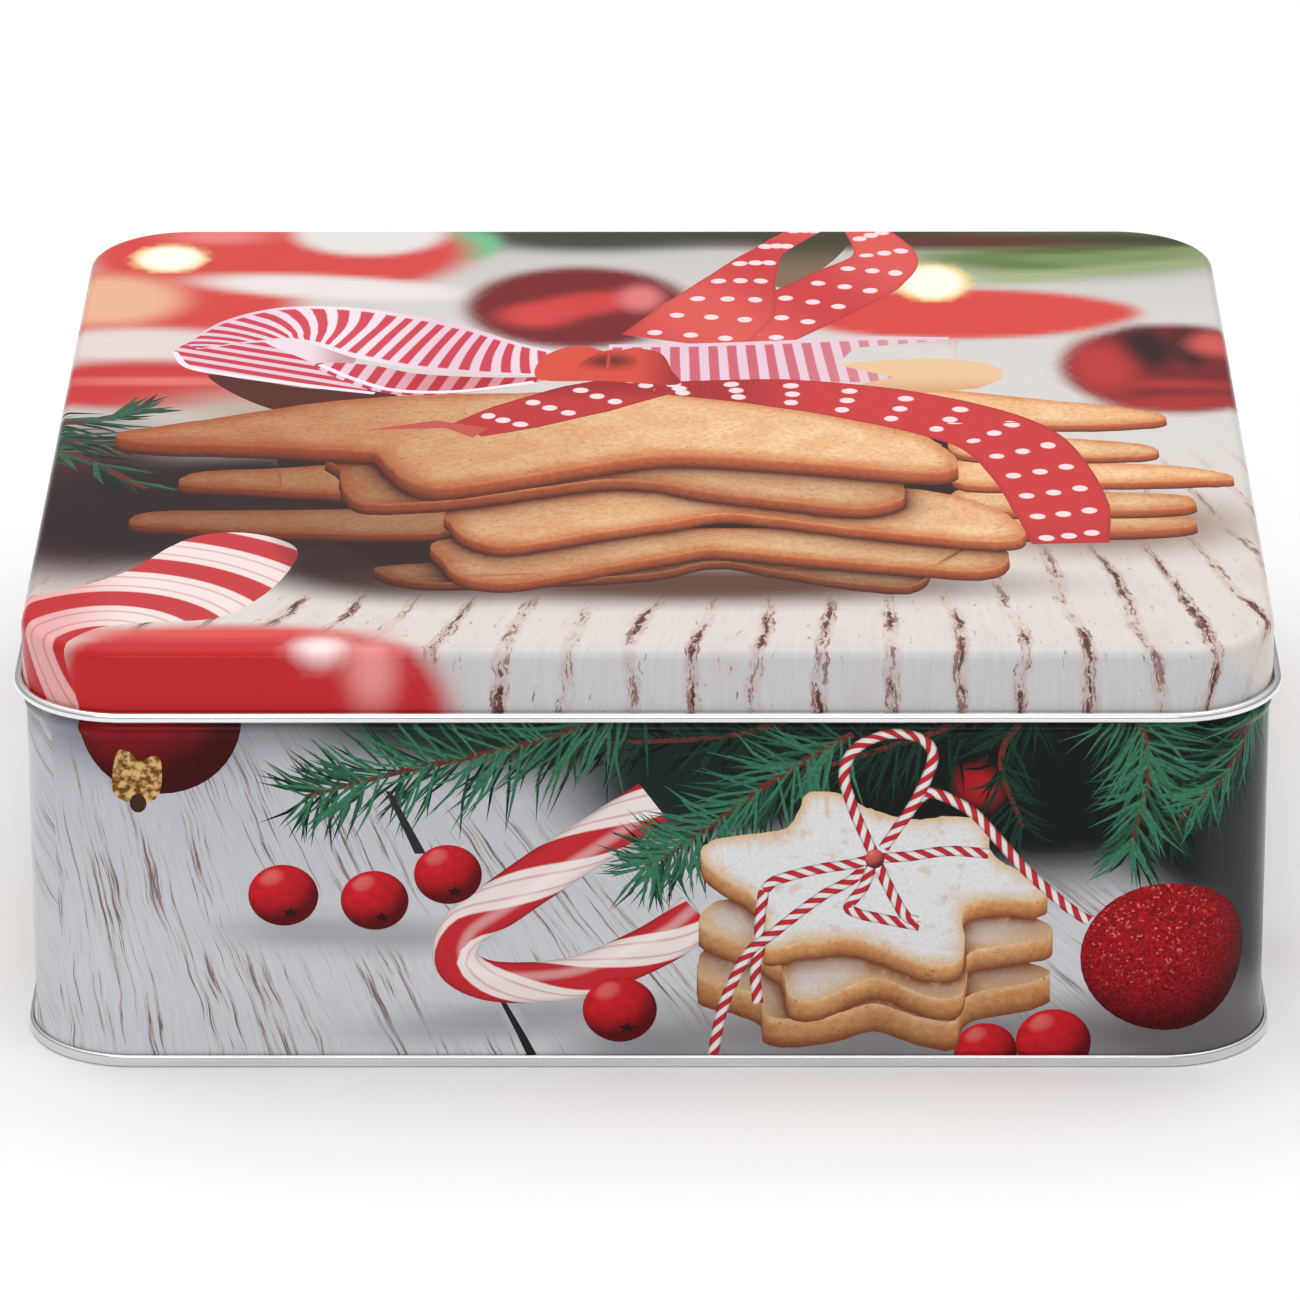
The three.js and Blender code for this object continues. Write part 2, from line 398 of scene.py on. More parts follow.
def glitter_ink(ink):
    """A bauble covered in red glitter: every flake has its own brightness."""
    facing = ball_shade(ink, (-0.3, 0.55, 0.78))
    flake, other = ink.split(ink.cells(ink.place(), 38, "Color"))
    colour = ink.paint().tint(facing.step(-0.3, 0.95, 0.16, 0.95))
    colour = colour.tint(flake.step(0.0, 1.0, 0.55, 1.35))
    spark = other.step(0.88, 0.97) * facing.step(0.3, 0.95)
    return colour.mix(spark * 0.6, rgb(255, 130, 120))


def gold_ink(ink):
    """The bauble's cap and ring in gilt metal."""
    sheen = ink.noise(ink.place(), 0.7).step(0.4, 0.62)
    return ink.mix(sheen, rgb(120, 78, 30), rgb(232, 205, 150)).mix(0.5, ink.paint(), "MULTIPLY")


def printed(name, draw, *settings):
    """An ink's material. All have the same clear gloss varnish, on lithographed tinplate."""
    ink = Shader(name)
    rub = ink.noise(ink.solid_place(), 55, 3)
    return ink.finish(
        base_color=draw(ink, *settings), roughness=rub.step(0.3, 0.75, 0.2, 0.3), metallic=0.0,
        specular_ior_level=0.1, coat_weight=0.03, coat_roughness=0.05, coat_ior=1.5)


INKS = {draw.__name__.removesuffix("_ink"): printed(draw.__name__, draw) for draw in (
    soft_ink, lid_wood_ink, wall_wood_ink, dough_ink, sugar_ink, dotted_ink, striped_ink, twine_ink,
    needle_ink, berry_ink, glitter_ink, gold_ink)}
INKS["candy"] = printed("candy_ink", candy_ink, 1.7, 0.16, 0.21)
INKS["fine_candy"] = printed("fine_candy_ink", candy_ink, 6.4, 0.36, 0.22)


def tinplate(name, base, low, high, streak_scale):
    """Bright bare tinplate with the fine streaks the rolling mill leaves."""
    metal = Shader(name)
    place = metal.solid_place()
    streaks = metal.grain(place, 40, 40, 4, 0.6, streak_scale)
    colour = metal.mix(metal.noise(place, 35, 3), base * 0.92, base)
    colour = colour.tint(streaks.step(0.3, 0.7, 0.94, 1.04))
    return metal.finish(base_color=colour, metallic=1.0, roughness=streaks.step(0.25, 0.75, low, high))


# ---------------------------------------------------------------------------------------------
# Flat shapes for the drawings, in millimetres, counterclockwise


def points(*numbers):
    """Points from their x and y in turn."""
    return np.reshape(np.array(numbers, float), (-1, 2))


def spline(knots, closed, steps):
    """A Catmull-Rom curve through the knots."""
    knots = np.asarray(knots, float)
    count = len(knots)
    pieces = []
    for i in range(count if closed else count - 1):
        if closed:
            a, b, c, d = (knots[(i + k) % count] for k in (-1, 0, 1, 2))
        else:
            b, c = knots[i], knots[i + 1]
            a = knots[i - 1] if i > 0 else 2 * b - c
            d = knots[i + 2] if i + 2 < count else 2 * c - b
        t = np.linspace(0, 1, steps, endpoint=False)[:, None]
        pieces.append(0.5 * (2 * b + (c - a) * t + (2 * a - 5 * b + 4 * c - d) * t**2
                             + (3 * b - a - 3 * c + d) * t**3))
    if not closed:
        pieces.append(knots[-1:])
    return np.concatenate(pieces)


def blob(*numbers, steps=6):
    return spline(points(*numbers), True, steps)


def line(*numbers, steps=8):
    return spline(points(*numbers), False, steps)


def turned(shape, degrees):
    a = math.radians(degrees)
    return shape @ np.array([[math.cos(a), math.sin(a)], [-math.sin(a), math.cos(a)]])


def ellipse(centre, radii, degrees=0.0, count=40):
    t = np.linspace(0, 2 * math.pi, count, endpoint=False)
    shape = np.stack([radii[0] * np.cos(t), radii[1] * np.sin(t)], 1)
    return turned(shape, degrees) + np.array(centre)


def crumbled(outline, amount, seed):
    """An outline with a baked edge's small dents and crumbs."""
    draw = random.Random(seed)
    dents = np.array([[draw.uniform(-1, 1), draw.uniform(-1, 1)] for _ in outline])
    return outline + amount * dents


def facing_left(outline):
    """The same outline, run counterclockwise."""
    after = np.roll(outline, -1, 0)
    area = (outline[:, 0] * after[:, 1] - after[:, 0] * outline[:, 1]).sum()
    return outline if area > 0 else outline[::-1]


def strip(course, widths):
    """The outline of a band along a course, and each point's place in it: u along the course in
    millimetres, v across it from -1 to 1. widths are spread evenly along the course."""
    step = np.gradient(course, axis=0)
    step /= np.linalg.norm(step, axis=1)[:, None]
    side = np.stack([-step[:, 1], step[:, 0]], 1)
    share = np.linspace(0, 1, len(course))
    half = np.interp(share, np.linspace(0, 1, len(widths)), widths) / 2
    outline = np.concatenate([course - side * half[:, None], (course + side * half[:, None])[::-1]])
    length = np.concatenate([[0], np.cumsum(np.linalg.norm(np.diff(course, axis=0), axis=1))])

    def place(p):
        start, leg = course[:-1], np.diff(course, axis=0)
        gap = p[:, None, :] - start[None]
        along = np.clip((gap * leg).sum(2) / (leg**2).sum(1), 0, 1)
        miss = gap - along[..., None] * leg
        nearest = (miss**2).sum(2).argmin(1)
        row = np.arange(len(p))
        t = along[row, nearest]
        off = (miss[row, nearest] * side[nearest]).sum(1)
        wide = half[nearest] * (1 - t) + half[nearest + 1] * t
        u = length[nearest] + t * (length[nearest + 1] - length[nearest])
        return np.stack([u, np.clip(off / wide, -1, 1)], 1)

    return outline, place


def distance_to(outline, p):
    """How far each point lies from the outline."""
    leg = np.roll(outline, -1, 0) - outline
    gap = p[:, None, :] - outline[None]
    t = np.clip((gap * leg).sum(2) / np.maximum((leg**2).sum(1), 1e-9), 0, 1)
    return np.sqrt(((gap - t[..., None] * leg) ** 2).sum(2).min(1))


def is_inside(outline, p):
    after = np.roll(outline, -1, 0)
    x, y = p[:, 0, None], p[:, 1, None]
    crosses = (outline[:, 1] > y) != (after[:, 1] > y)
    rise = np.where(after[:, 1] == outline[:, 1], 1e-9, after[:, 1] - outline[:, 1])
    at = outline[:, 0] + (y - outline[:, 1]) / rise * (after[:, 0] - outline[:, 0])
    return (crosses & (x < at)).sum(1) % 2 == 1


def smooth(value, low, high):
    t = np.clip((value - low) / (high - low), 0, 1)
    return t * t * (3 - 2 * t)


def mixed(first, second, share):
    share = np.asarray(share)[..., None]
    return first * (1 - share) + second * share


# ---------------------------------------------------------------------------------------------
# The drawing: patches over a background


class Drawing:
    def __init__(self, outline, ink, shade, place):
        self.patches = []
        self.lay(outline, ink, shade, place)

    def lay(self, outline, ink, shade, place=None):
        """Puts a patch on top. shade is a colour, or gives one for each point, with or without
        an alpha, and place gives each point's u and v."""
        self.patches.append((facing_left(outline), ink, shade, place or (lambda p: p)))

    def ball(self, centre, radius, ink, colour, squash=1.0):
        middle = np.array(centre, float)
        size = np.array([radius, radius * squash])
        self.lay(ellipse(centre, size), ink, colour, lambda p: (p - middle) / size)

    def band(self, course, widths, ink, shade, unit=1.0, slant=0.0):
        """A ribbon, cane or cord along a course. Its pattern leans by slant, and counts along it
        in steps of unit millimetres."""
        outline, place = strip(course, widths)

        def lean(p):
            u, v = place(p).T
            return np.column_stack([(u + slant * v) / unit, v])

        self.lay(outline, ink, shade, lean)


def shaded(shade, p):
    colour = shade(p) if callable(shade) else np.tile(shade, (len(p), 1))
    if colour.shape[1] == 3:
        colour = np.concatenate([colour, np.ones((len(p), 1))], 1)
    return colour


def cut(drawing, guides, grid):
    """Cuts the drawing into triangles along every outline and guide line. Returns the flat
    points, the triangles and the topmost patch under each triangle."""
    verts, edges, faces = [], [], []
    for outline, *_ in drawing.patches:
        start = len(verts)
        verts.extend(Vector(p) for p in outline)
        faces.append(list(range(start, start + len(outline))))
    for guide in guides:
        start = len(verts)
        verts.extend(Vector(p) for p in guide)
        edges.extend((start + i, start + i + 1) for i in range(len(guide) - 1))
    verts.extend(Vector(p) for p in grid)
    flat, _, triangles, _, _, owners = delaunay_2d_cdt(verts, edges, faces, 0, 1e-4, True)
    kept = [(t, max(o)) for t, o in zip(triangles, owners) if 0 in o]
    used = sorted({i for t, _ in kept for i in t})
    index = {old: new for new, old in enumerate(used)}
    corners = np.array([[index[i] for i in t] for t, _ in kept])
    return np.array([flat[i] for i in used]), corners, np.array([top for _, top in kept])


def build_print(name, drawing, guides, grid, fold):
    """The folded print as one object, with its inks, places and shading. Each corner's place is
    taken a little way into its own triangle, because the boards start anew at each side."""
    flat, corners, owner = cut(drawing, guides, grid)
    place3, normals = fold(flat)
    mesh = bpy.data.meshes.new(name)
    mesh.from_pydata((place3 * MM).tolist(), [], corners.tolist())
    names = sorted({patch[1] for patch in drawing.patches})
    for ink in names:
        mesh.materials.append(INKS[ink])
    slots = np.array([names.index(patch[1]) for patch in drawing.patches])
    mesh.polygons.foreach_set("material_index", slots[owner])
    colours = np.zeros((len(corners), 3, 4))
    places = np.zeros((len(corners), 3, 2))
    nudge = 0.001
    inward = flat[corners] * (1 - nudge) + flat[corners].mean(1, keepdims=True) * nudge
    for patch in np.unique(owner):
        mine = owner == patch
        ids, back = np.unique(corners[mine], return_inverse=True)
        _, _, shade, place = drawing.patches[patch]
        colours[mine] = shaded(shade, flat[ids])[back.reshape(-1, 3)]
        places[mine] = place(inward[mine].reshape(-1, 2)).reshape(-1, 3, 2)
    paint = mesh.color_attributes.new("paint", "FLOAT_COLOR", "CORNER")
    paint.data.foreach_set("color", colours.ravel())
    layer = mesh.uv_layers.new(name="place")
    layer.data.foreach_set("uv", places.ravel())
    mesh.polygons.foreach_set("use_smooth", [True] * len(corners))
    mesh.normals_split_custom_set_from_vertices(normals.tolist())
    piece = bpy.data.objects.new(name, mesh)
    bpy.context.scene.collection.objects.link(piece)
    return piece


# ---------------------------------------------------------------------------------------------
# Things drawn on the prints

GINGERBREAD = (rgb(240, 200, 152), rgb(216, 148, 98), rgb(186, 98, 58), rgb(74, 24, 16))


def biscuit(drawing, outline, thickness, cover, light, colours, top_ink="dough", side_ink="dough"):
    """One biscuit of a stack: its edge, drawn as the outline swept down, and its top face. cover
    is the outline of the biscuit lying on it, which shades it. light is the colour of the light
    on each point."""
    top, rim, side, dark = colours
    outline = facing_left(outline)
    run = np.roll(outline, -1, 0) - np.roll(outline, 1, 0)
    run /= np.maximum(np.hypot(run[:, 0], run[:, 1]), 1e-9)[:, None]
    lit = 0.74 + 0.26 * np.maximum(run[:, 0], 0) + 0.16 * run[:, 1]
    after = np.roll(outline, -1, 0)
    lit_after = np.roll(lit, -1)
    for i in np.argsort(-(outline + after)[:, 1]):
        a, b = outline[i], after[i]
        if b[0] <= a[0]:
            continue

        def shade(p, a=a, b=b, i=i):
            share = np.clip((p[:, 0] - a[0]) / (b[0] - a[0]), 0, 1)
            depth = (a[1] + share * (b[1] - a[1]) - p[:, 1]) / thickness
            colour = mixed(rim * 1.1, side, smooth(depth, 0, 0.3))
            colour = mixed(colour, dark, 0.92 * smooth(depth, 0.4, 1.0))
            return colour * light(p) * (lit[i] + share * (lit_after[i] - lit[i]))[:, None]

        for high, low in ((0, 0.28), (0.28, 0.7), (0.7, 1)):
            above, below = [0, -thickness * high], [0, -thickness * low]
            drawing.lay(np.array([a + above, a + below, b + below, b + above]), side_ink, shade)

    def top_shade(p):
        colour = mixed(rim, top, smooth(distance_to(outline, p), 0, 0.7 * thickness))
        if cover is not None:
            gap = np.where(is_inside(cover, p), 0, distance_to(cover, p) / thickness)
            colour = mixed(colour, side * 0.8, 0.7 * np.exp(-gap))
            colour = mixed(colour, dark, 0.95 * np.exp(-3 * gap))
        return colour * light(p)

    drawing.lay(outline, top_ink, top_shade)


def pile(drawing, shapes, biscuits, scale, light, colours, *inks):
    """Biscuits lying on each other, the lowest first. Each has its knots, thickness and level of
    light, and its finished shape in shapes."""
    for i, (_, thickness, level) in enumerate(biscuits):
        on_top = i + 1 < len(biscuits)
        cover = shapes[i + 1] - [0, biscuits[i + 1][1] * scale] if on_top else None
        biscuit(drawing, shapes[i], thickness * scale, cover, light(level), colours, *inks)


def needles(drawing, course, length, width, count, seed, colours, spread, hang=0.0):
    """Fir needles down both sides of a twig, the dark ones first, and the twig among them."""
    draw = random.Random(seed)
    step = np.gradient(course, axis=0)
    made = []
    for i in range(count):
        at = draw.random()
        k = min(int(at * (len(course) - 1)), len(course) - 2)
        root = course[k] + (course[k + 1] - course[k]) * (at * (len(course) - 1) - k)
        way = math.atan2(step[k][1], step[k][0])
        side = 1 if i % 2 else -1
        way += side * math.radians(draw.uniform(*spread))
        reach = length * draw.uniform(0.65, 1.1) * (1.1 - 0.45 * at)
        bend = math.radians(draw.uniform(-16, 16)) + hang * math.cos(way)
        mid = root + 0.55 * reach * np.array([math.cos(way), math.sin(way)])
        tip = mid + 0.5 * reach * np.array([math.cos(way + bend), math.sin(way + bend)])
        across = np.array([-math.sin(way), math.cos(way)]) * width / 2
        shape = np.array([root - across * 0.6, mid - across, tip, mid + across, root + across * 0.6])
        made.append((draw.random(), shape))
    made.sort(key=lambda item: item[0])
    dark, light = colours
    for rank, shape in made[: count // 2]:
        drawing.lay(shape, "needle", mixed(dark, light, smooth(rank, 0, 1)))
    drawing.band(course, [width * 2.4, width * 1.2], "needle", rgb(104, 44, 36))
    for rank, shape in made[count // 2:]:
        drawing.lay(shape, "needle", mixed(dark, light, smooth(rank, 0.1, 0.95)))


def soft_spots(colour, p, spots):
    """Out-of-focus shapes laid over a colour, which hide the wood's sharpness too. Each is its
    centre's x and y, its radii, its turn in degrees, its softness and its red, green and blue."""
    for x, y, wide, high, degrees, soft, *tint in spots:
        local = turned(p - [x, y], -degrees) / [wide, high]
        cover = 1 - smooth(np.hypot(local[:, 0], local[:, 1]), 1 - soft, 1 + soft)[:, None]
        colour = colour * (1 - cover) + np.array([*rgb(*tint), 0]) * cover
    return colour


def fade(first, second, axis, low, high):
    """A shade that goes from one colour to another as x or y goes from low to high."""
    return lambda p: mixed(rgb(*first), rgb(*second), smooth(p[:, axis], low, high))


def opaque(colour, alpha=1.0):
    return np.column_stack([colour, np.broadcast_to(alpha, len(colour))])


# ---------------------------------------------------------------------------------------------
# The lid's print: gingerbread stars tied with ribbons on whitewashed boards

PANEL_HALF = HALF_SIDE + LID_OFFSET - LID_EDGE_R
PANEL_R = CORNER_R + LID_OFFSET - LID_EDGE_R
BEND = LID_EDGE_R * math.pi / 2
SKIRT = BEND + LID_TOP - LID_EDGE_R - LID_RIM
ROUND_STEPS = 12


def square_loop(half, radius, steps=ROUND_STEPS):
    """A rounded square, counterclockwise, with the same corner centres as the tin."""
    corner = half - radius
    loop = []
    for quarter, (sx, sy) in enumerate([(1, 1), (-1, 1), (-1, -1), (1, -1)]):
        for i in range(steps + 1):
            a = math.pi / 2 * (quarter + i / steps)
            loop.append((sx * corner + radius * math.cos(a), sy * corner + radius * math.sin(a)))
    return np.array(loop)


def beyond_panel(p):
    """How far each point of the sheet lies outside the flat panel, and which way out is."""
    corner = PANEL_HALF - PANEL_R
    q = np.abs(p) - corner
    sign = np.where(p < 0, -1.0, 1.0)
    reach = np.maximum(q, 0)
    far = np.hypot(reach[:, 0], reach[:, 1])
    distance = far + np.minimum(q.max(1), 0) - PANEL_R
    side = np.where((q[:, 0] > q[:, 1])[:, None], [[1.0, 0.0]], [[0.0, 1.0]])
    out = np.where((far > 0)[:, None], reach / np.maximum(far, 1e-9)[:, None], side)
    return distance, out * sign


def fold_lid(p):
    distance, out = beyond_panel(p)
    d = np.maximum(distance, 0)
    a = np.minimum(d, BEND) / LID_EDGE_R
    base = p - out * d[:, None]
    flat = base + out * (LID_EDGE_R * np.sin(a))[:, None]
    z = LID_TOP - LID_EDGE_R * (1 - np.cos(a)) - np.maximum(d - BEND, 0)
    normal = np.column_stack([out * np.sin(a)[:, None], np.cos(a)])
    return np.column_stack([flat, z]), normal


def lid_field(p):
    """The blurred setting of the picture. Alpha is how sharp the boards are."""
    y = p[:, 1]
    near, middle, back = rgb(222, 214, 207), rgb(214, 209, 204), rgb(200, 195, 190)
    colour = mixed(mixed(near, middle, smooth(y, -80, 20)), back, smooth(y, 40, 105))
    colour = mixed(colour, rgb(205, 204, 206), smooth(y, -106, -112))
    colour = opaque(colour, 1 - smooth(y, -45, -5))
    red, deep = (212, 66, 60), (118, 22, 26)
    return soft_spots(colour, p, [
        (40, 112, 75, 12, 0, 0.35, 50, 58, 36),
        (84, 95, 34, 13, 4, 0.5, 122, 142, 88),
        (70, 90, 14, 3, -14, 0.7, 96, 122, 66),
        (96, 88, 16, 2.4, 12, 0.7, 150, 168, 116),
        (84, 98, 18, 2, 8, 0.7, 84, 104, 56),
        (74, 82, 12, 3, 10, 0.8, 160, 176, 130),
        (66, 103, 48, 4.5, 2, 0.6, 92, 40, 30),
        (96, 104, 20, 3, -6, 0.7, 52, 62, 34),
        (-12, 106, 26, 9, 0, 0.5, 58, 62, 44),
        (-36, 101, 6, 9, 0, 0.4, 110, 190, 140),
        (-74, 96, 38, 25, 0, 0.14, *red),
        (-56, 108, 15, 13, 0, 0.2, 228, 222, 218),
        (-98, 62, 30, 26, 20, 0.18, *red),
        (-62, 76, 27, 6.5, -9, 0.35, 232, 224, 220),
        (-86, 106, 9, 4, 0, 0.8, 232, 128, 120),
        (-80, 58, 7, 12, 0, 0.3, *red),
        (-106, 69, 15, 14, 0, 0.35, 232, 176, 146),
        (-98, 44, 22, 9, 0, 0.35, 224, 212, 206),
        (-95, 22, 30, 13, 0, 0.22, 200, 52, 52),
        (-92, 24, 20, 2, 0, 0.8, 226, 120, 110),
        (-62, 8, 28, 12, 0, 0.6, 186, 166, 154),
        (60, 61, 33, 14, 1, 0.14, 214, 66, 60),
        (84, 62, 10, 6, 0, 0.3, 214, 66, 60),
        (-14, 65, 22, 23, 0, 0.12, *deep),
        (-14, 66, 13, 6, 24, 0.5, 206, 60, 56),
        (-22, 60, 7, 6, 0, 0.6, 210, 64, 62),
        (-2, 70, 4, 7, 0, 0.6, 222, 120, 120),
        (100, 31, 22, 24, 0, 0.1, *deep),
        (95, 42, 5, 11, 4, 0.5, 46, 6, 10),
        (103, 42, 3, 10, 4, 0.5, 46, 6, 10),
        (86, 31, 6, 14, 4, 0.6, 186, 50, 48),
        (99, 12, 13, 4, 6, 0.7, 170, 42, 40),
        (108, 44, 5, 6, 0, 0.6, 206, 84, 76),
        (100, 22, 12, 2.5, -4, 0.7, 168, 44, 42),
        (-95, 93, 7.4, 8, 0, 0.12, 246, 214, 130),
        (-95, 93, 6.2, 6.8, 0, 0.2, 255, 251, 236),
        (55, 79, 7.4, 10.8, 0, 0.12, 246, 212, 120),
        (55, 79, 6, 9.2, 0, 0.2, 255, 250, 232),
        (-104, -38, 22, 38, 0, 0.45, 74, 36, 36),
        (-72, -42, 52, 30, 8, 0.3, 40, 20, 22),
        (-48, -72, 26, 13, -12, 0.5, 50, 26, 26),
        (8, -79, 52, 9, 0, 0.6, 96, 64, 56),
        (80, -50, 26, 14, 0, 0.6, 150, 120, 106),
        (-72, -122, 38, 23, 0, 0.1, 196, 40, 44),
        (-78, -102, 24, 3, 0, 0.8, 220, 84, 80),
        (-57, -108, 4.5, 4, 0, 0.7, 252, 226, 226),
        (-48, -113, 4, 7, 0, 0.8, 236, 150, 148),
    ])


def lid_boards(p):
    """Boards running away from the viewer to a vanishing point behind the biscuits, and straight
    down the front of the skirt."""
    vanish_x, vanish_y, depth, skirt_y = 42, 155, 250, -112
    far = vanish_y - np.maximum(p[:, 1], skirt_y)
    return np.column_stack([(p[:, 0] - vanish_x) * depth / far, p[:, 1]])


def warm_light(level):
    """The light on the lid's stack: full on the right, dim and redder towards the left."""
    dim, full = np.array([0.6, 0.4, 0.33]), np.array([1.03, 1.03, 1.03])
    return lambda p: level * mixed(dim, full, smooth(p[:, 0], -85, 28))


def lid_biscuits(drawing):
    """Five stars seen from low down, and the arms of more stars behind them, the lowest first."""
    arms = [
        ((58, -44, 84, -45, 96, -46, 99, -48, 97, -51, 84, -53, 58, -53), 5, 0.86),
        ((58, -32, 84, -34, 95, -35, 99, -37, 98, -41, 84, -43, 58, -42), 4.5, 0.9),
        ((58, -17, 84, -19, 98, -21, 105, -24, 107, -27, 100, -28, 84, -29, 58, -30), 4, 1.04),
        ((58, -4, 80, -7, 90, -9, 94, -12, 92, -15, 80, -16, 58, -15), 3.5, 0.94),
        ((24, 20, 45, 20, 58, 18.5, 74, 14, 88, 10, 96, 6, 95, 3, 85, 1, 70, 1, 40, 2), 4, 1.04),
        ((-94, -47, -89, -43.5, -70, -43, -38, -43, -38, -54, -60, -54, -80, -52, -92, -50),
         4, 0.6),
        ((-86, -27, -82, -23.5, -70, -22, -48, -20, -48, -34, -64, -33, -78, -31, -85, -30),
         4.5, 0.74),
    ]
    stack = [
        ((-48, -73, -46, -70, -20, -66, 12, -60, 40, -66, 50, -71, 48, -78.5, 44, -80, 36, -78,
         24, -73, 12, -68, 0, -74, -22, -77, -40, -78), 4, 0.5),
        ((-38, -58, -20, -54, 20, -52, 50, -56, 63, -61, 64, -68, 59, -72.5, 45, -70, 26, -65.5,
         12, -62, 4, -65, -9, -71, -21, -77, -28, -78, -34, -74.5, -37, -67), 5, 0.88),
        ((-36, -43, -22, -38, -6, -33, 10, -32, 30, -30, 47, -32, 59, -38, 66, -47, 68, -55,
         64, -58, 54, -56.5, 35, -51, 22, -46.5, 13, -44.5, 5, -48, -10, -54, -22, -59.5, -28, -60,
         -33, -56, -36, -49), 5.2, 1.0),
        ((-58, -14, -30, -8, 10, -8, 40, -16, 46, -26, 46, -37, 38, -41.5, 25, -38, 10, -33,
         1, -28.5, -8, -27.5, -20, -31.5, -34, -37, -46, -39.5, -53, -38.5, -56, -32, -57, -22),
         5.8, 0.84),
        ((-99, -5, -97, -2, -88, 1.5, -75, 7, -62, 12.5, -50, 15.5, -38, 17, -25, 17.5, -12, 19,
         2, 18.5, 10, 16, 22, 11, 34, 6, 44, 0, 51, -5, 54.5, -11, 57, -18, 55, -22.5, 49, -23,
         40, -21, 28, -18, 15, -15.5, 4, -14.5, -1, -15.5, -10, -19, -20, -24, -30, -28.5, -37, -31,
         -42, -30, -46, -25, -49, -18, -51, -13, -55, -12, -66, -10.5, -80, -9, -92, -8), 7.2, 1.0),
    ]
    drawing.lay(points(-70, -4, -66, -46, -44, -76, 0, -72, 50, -72, 66, -48, 72, 2), "soft",
                rgb(44, 20, 16))
    drawing.lay(blob(-84, 27, -76, 25, -64, 20, -50, 19, -48, 10, -66, 7, -76, 14), "soft",
                rgb(84, 32, 26))
    shapes = [crumbled(blob(*knots, steps=5), 0.16, 30 + i)
              for i, (knots, _, _) in enumerate(arms + stack)]
    for shape, (_, thickness, level) in zip(shapes, arms):
        biscuit(drawing, shape, thickness, None, warm_light(level), GINGERBREAD)
    pile(drawing, shapes[len(arms):], stack, 1.0, warm_light, GINGERBREAD)


def ribbon_paint(course, widths, shade):
    """A dotted ribbon's paint, with half its width as alpha, in centimetres."""
    share = np.linspace(0, 1, len(course))
    half = np.interp(share, np.linspace(0, 1, len(widths)), widths) / 20

    def paint(p):
        nearest = ((p[:, None, :] - course[None]) ** 2).sum(2).argmin(1)
        return np.column_stack([shade(p), half[nearest]])

    return paint


def dotted_band(drawing, course, widths, shade):
    drawing.band(course, widths, "dotted", ribbon_paint(course, widths, shade))


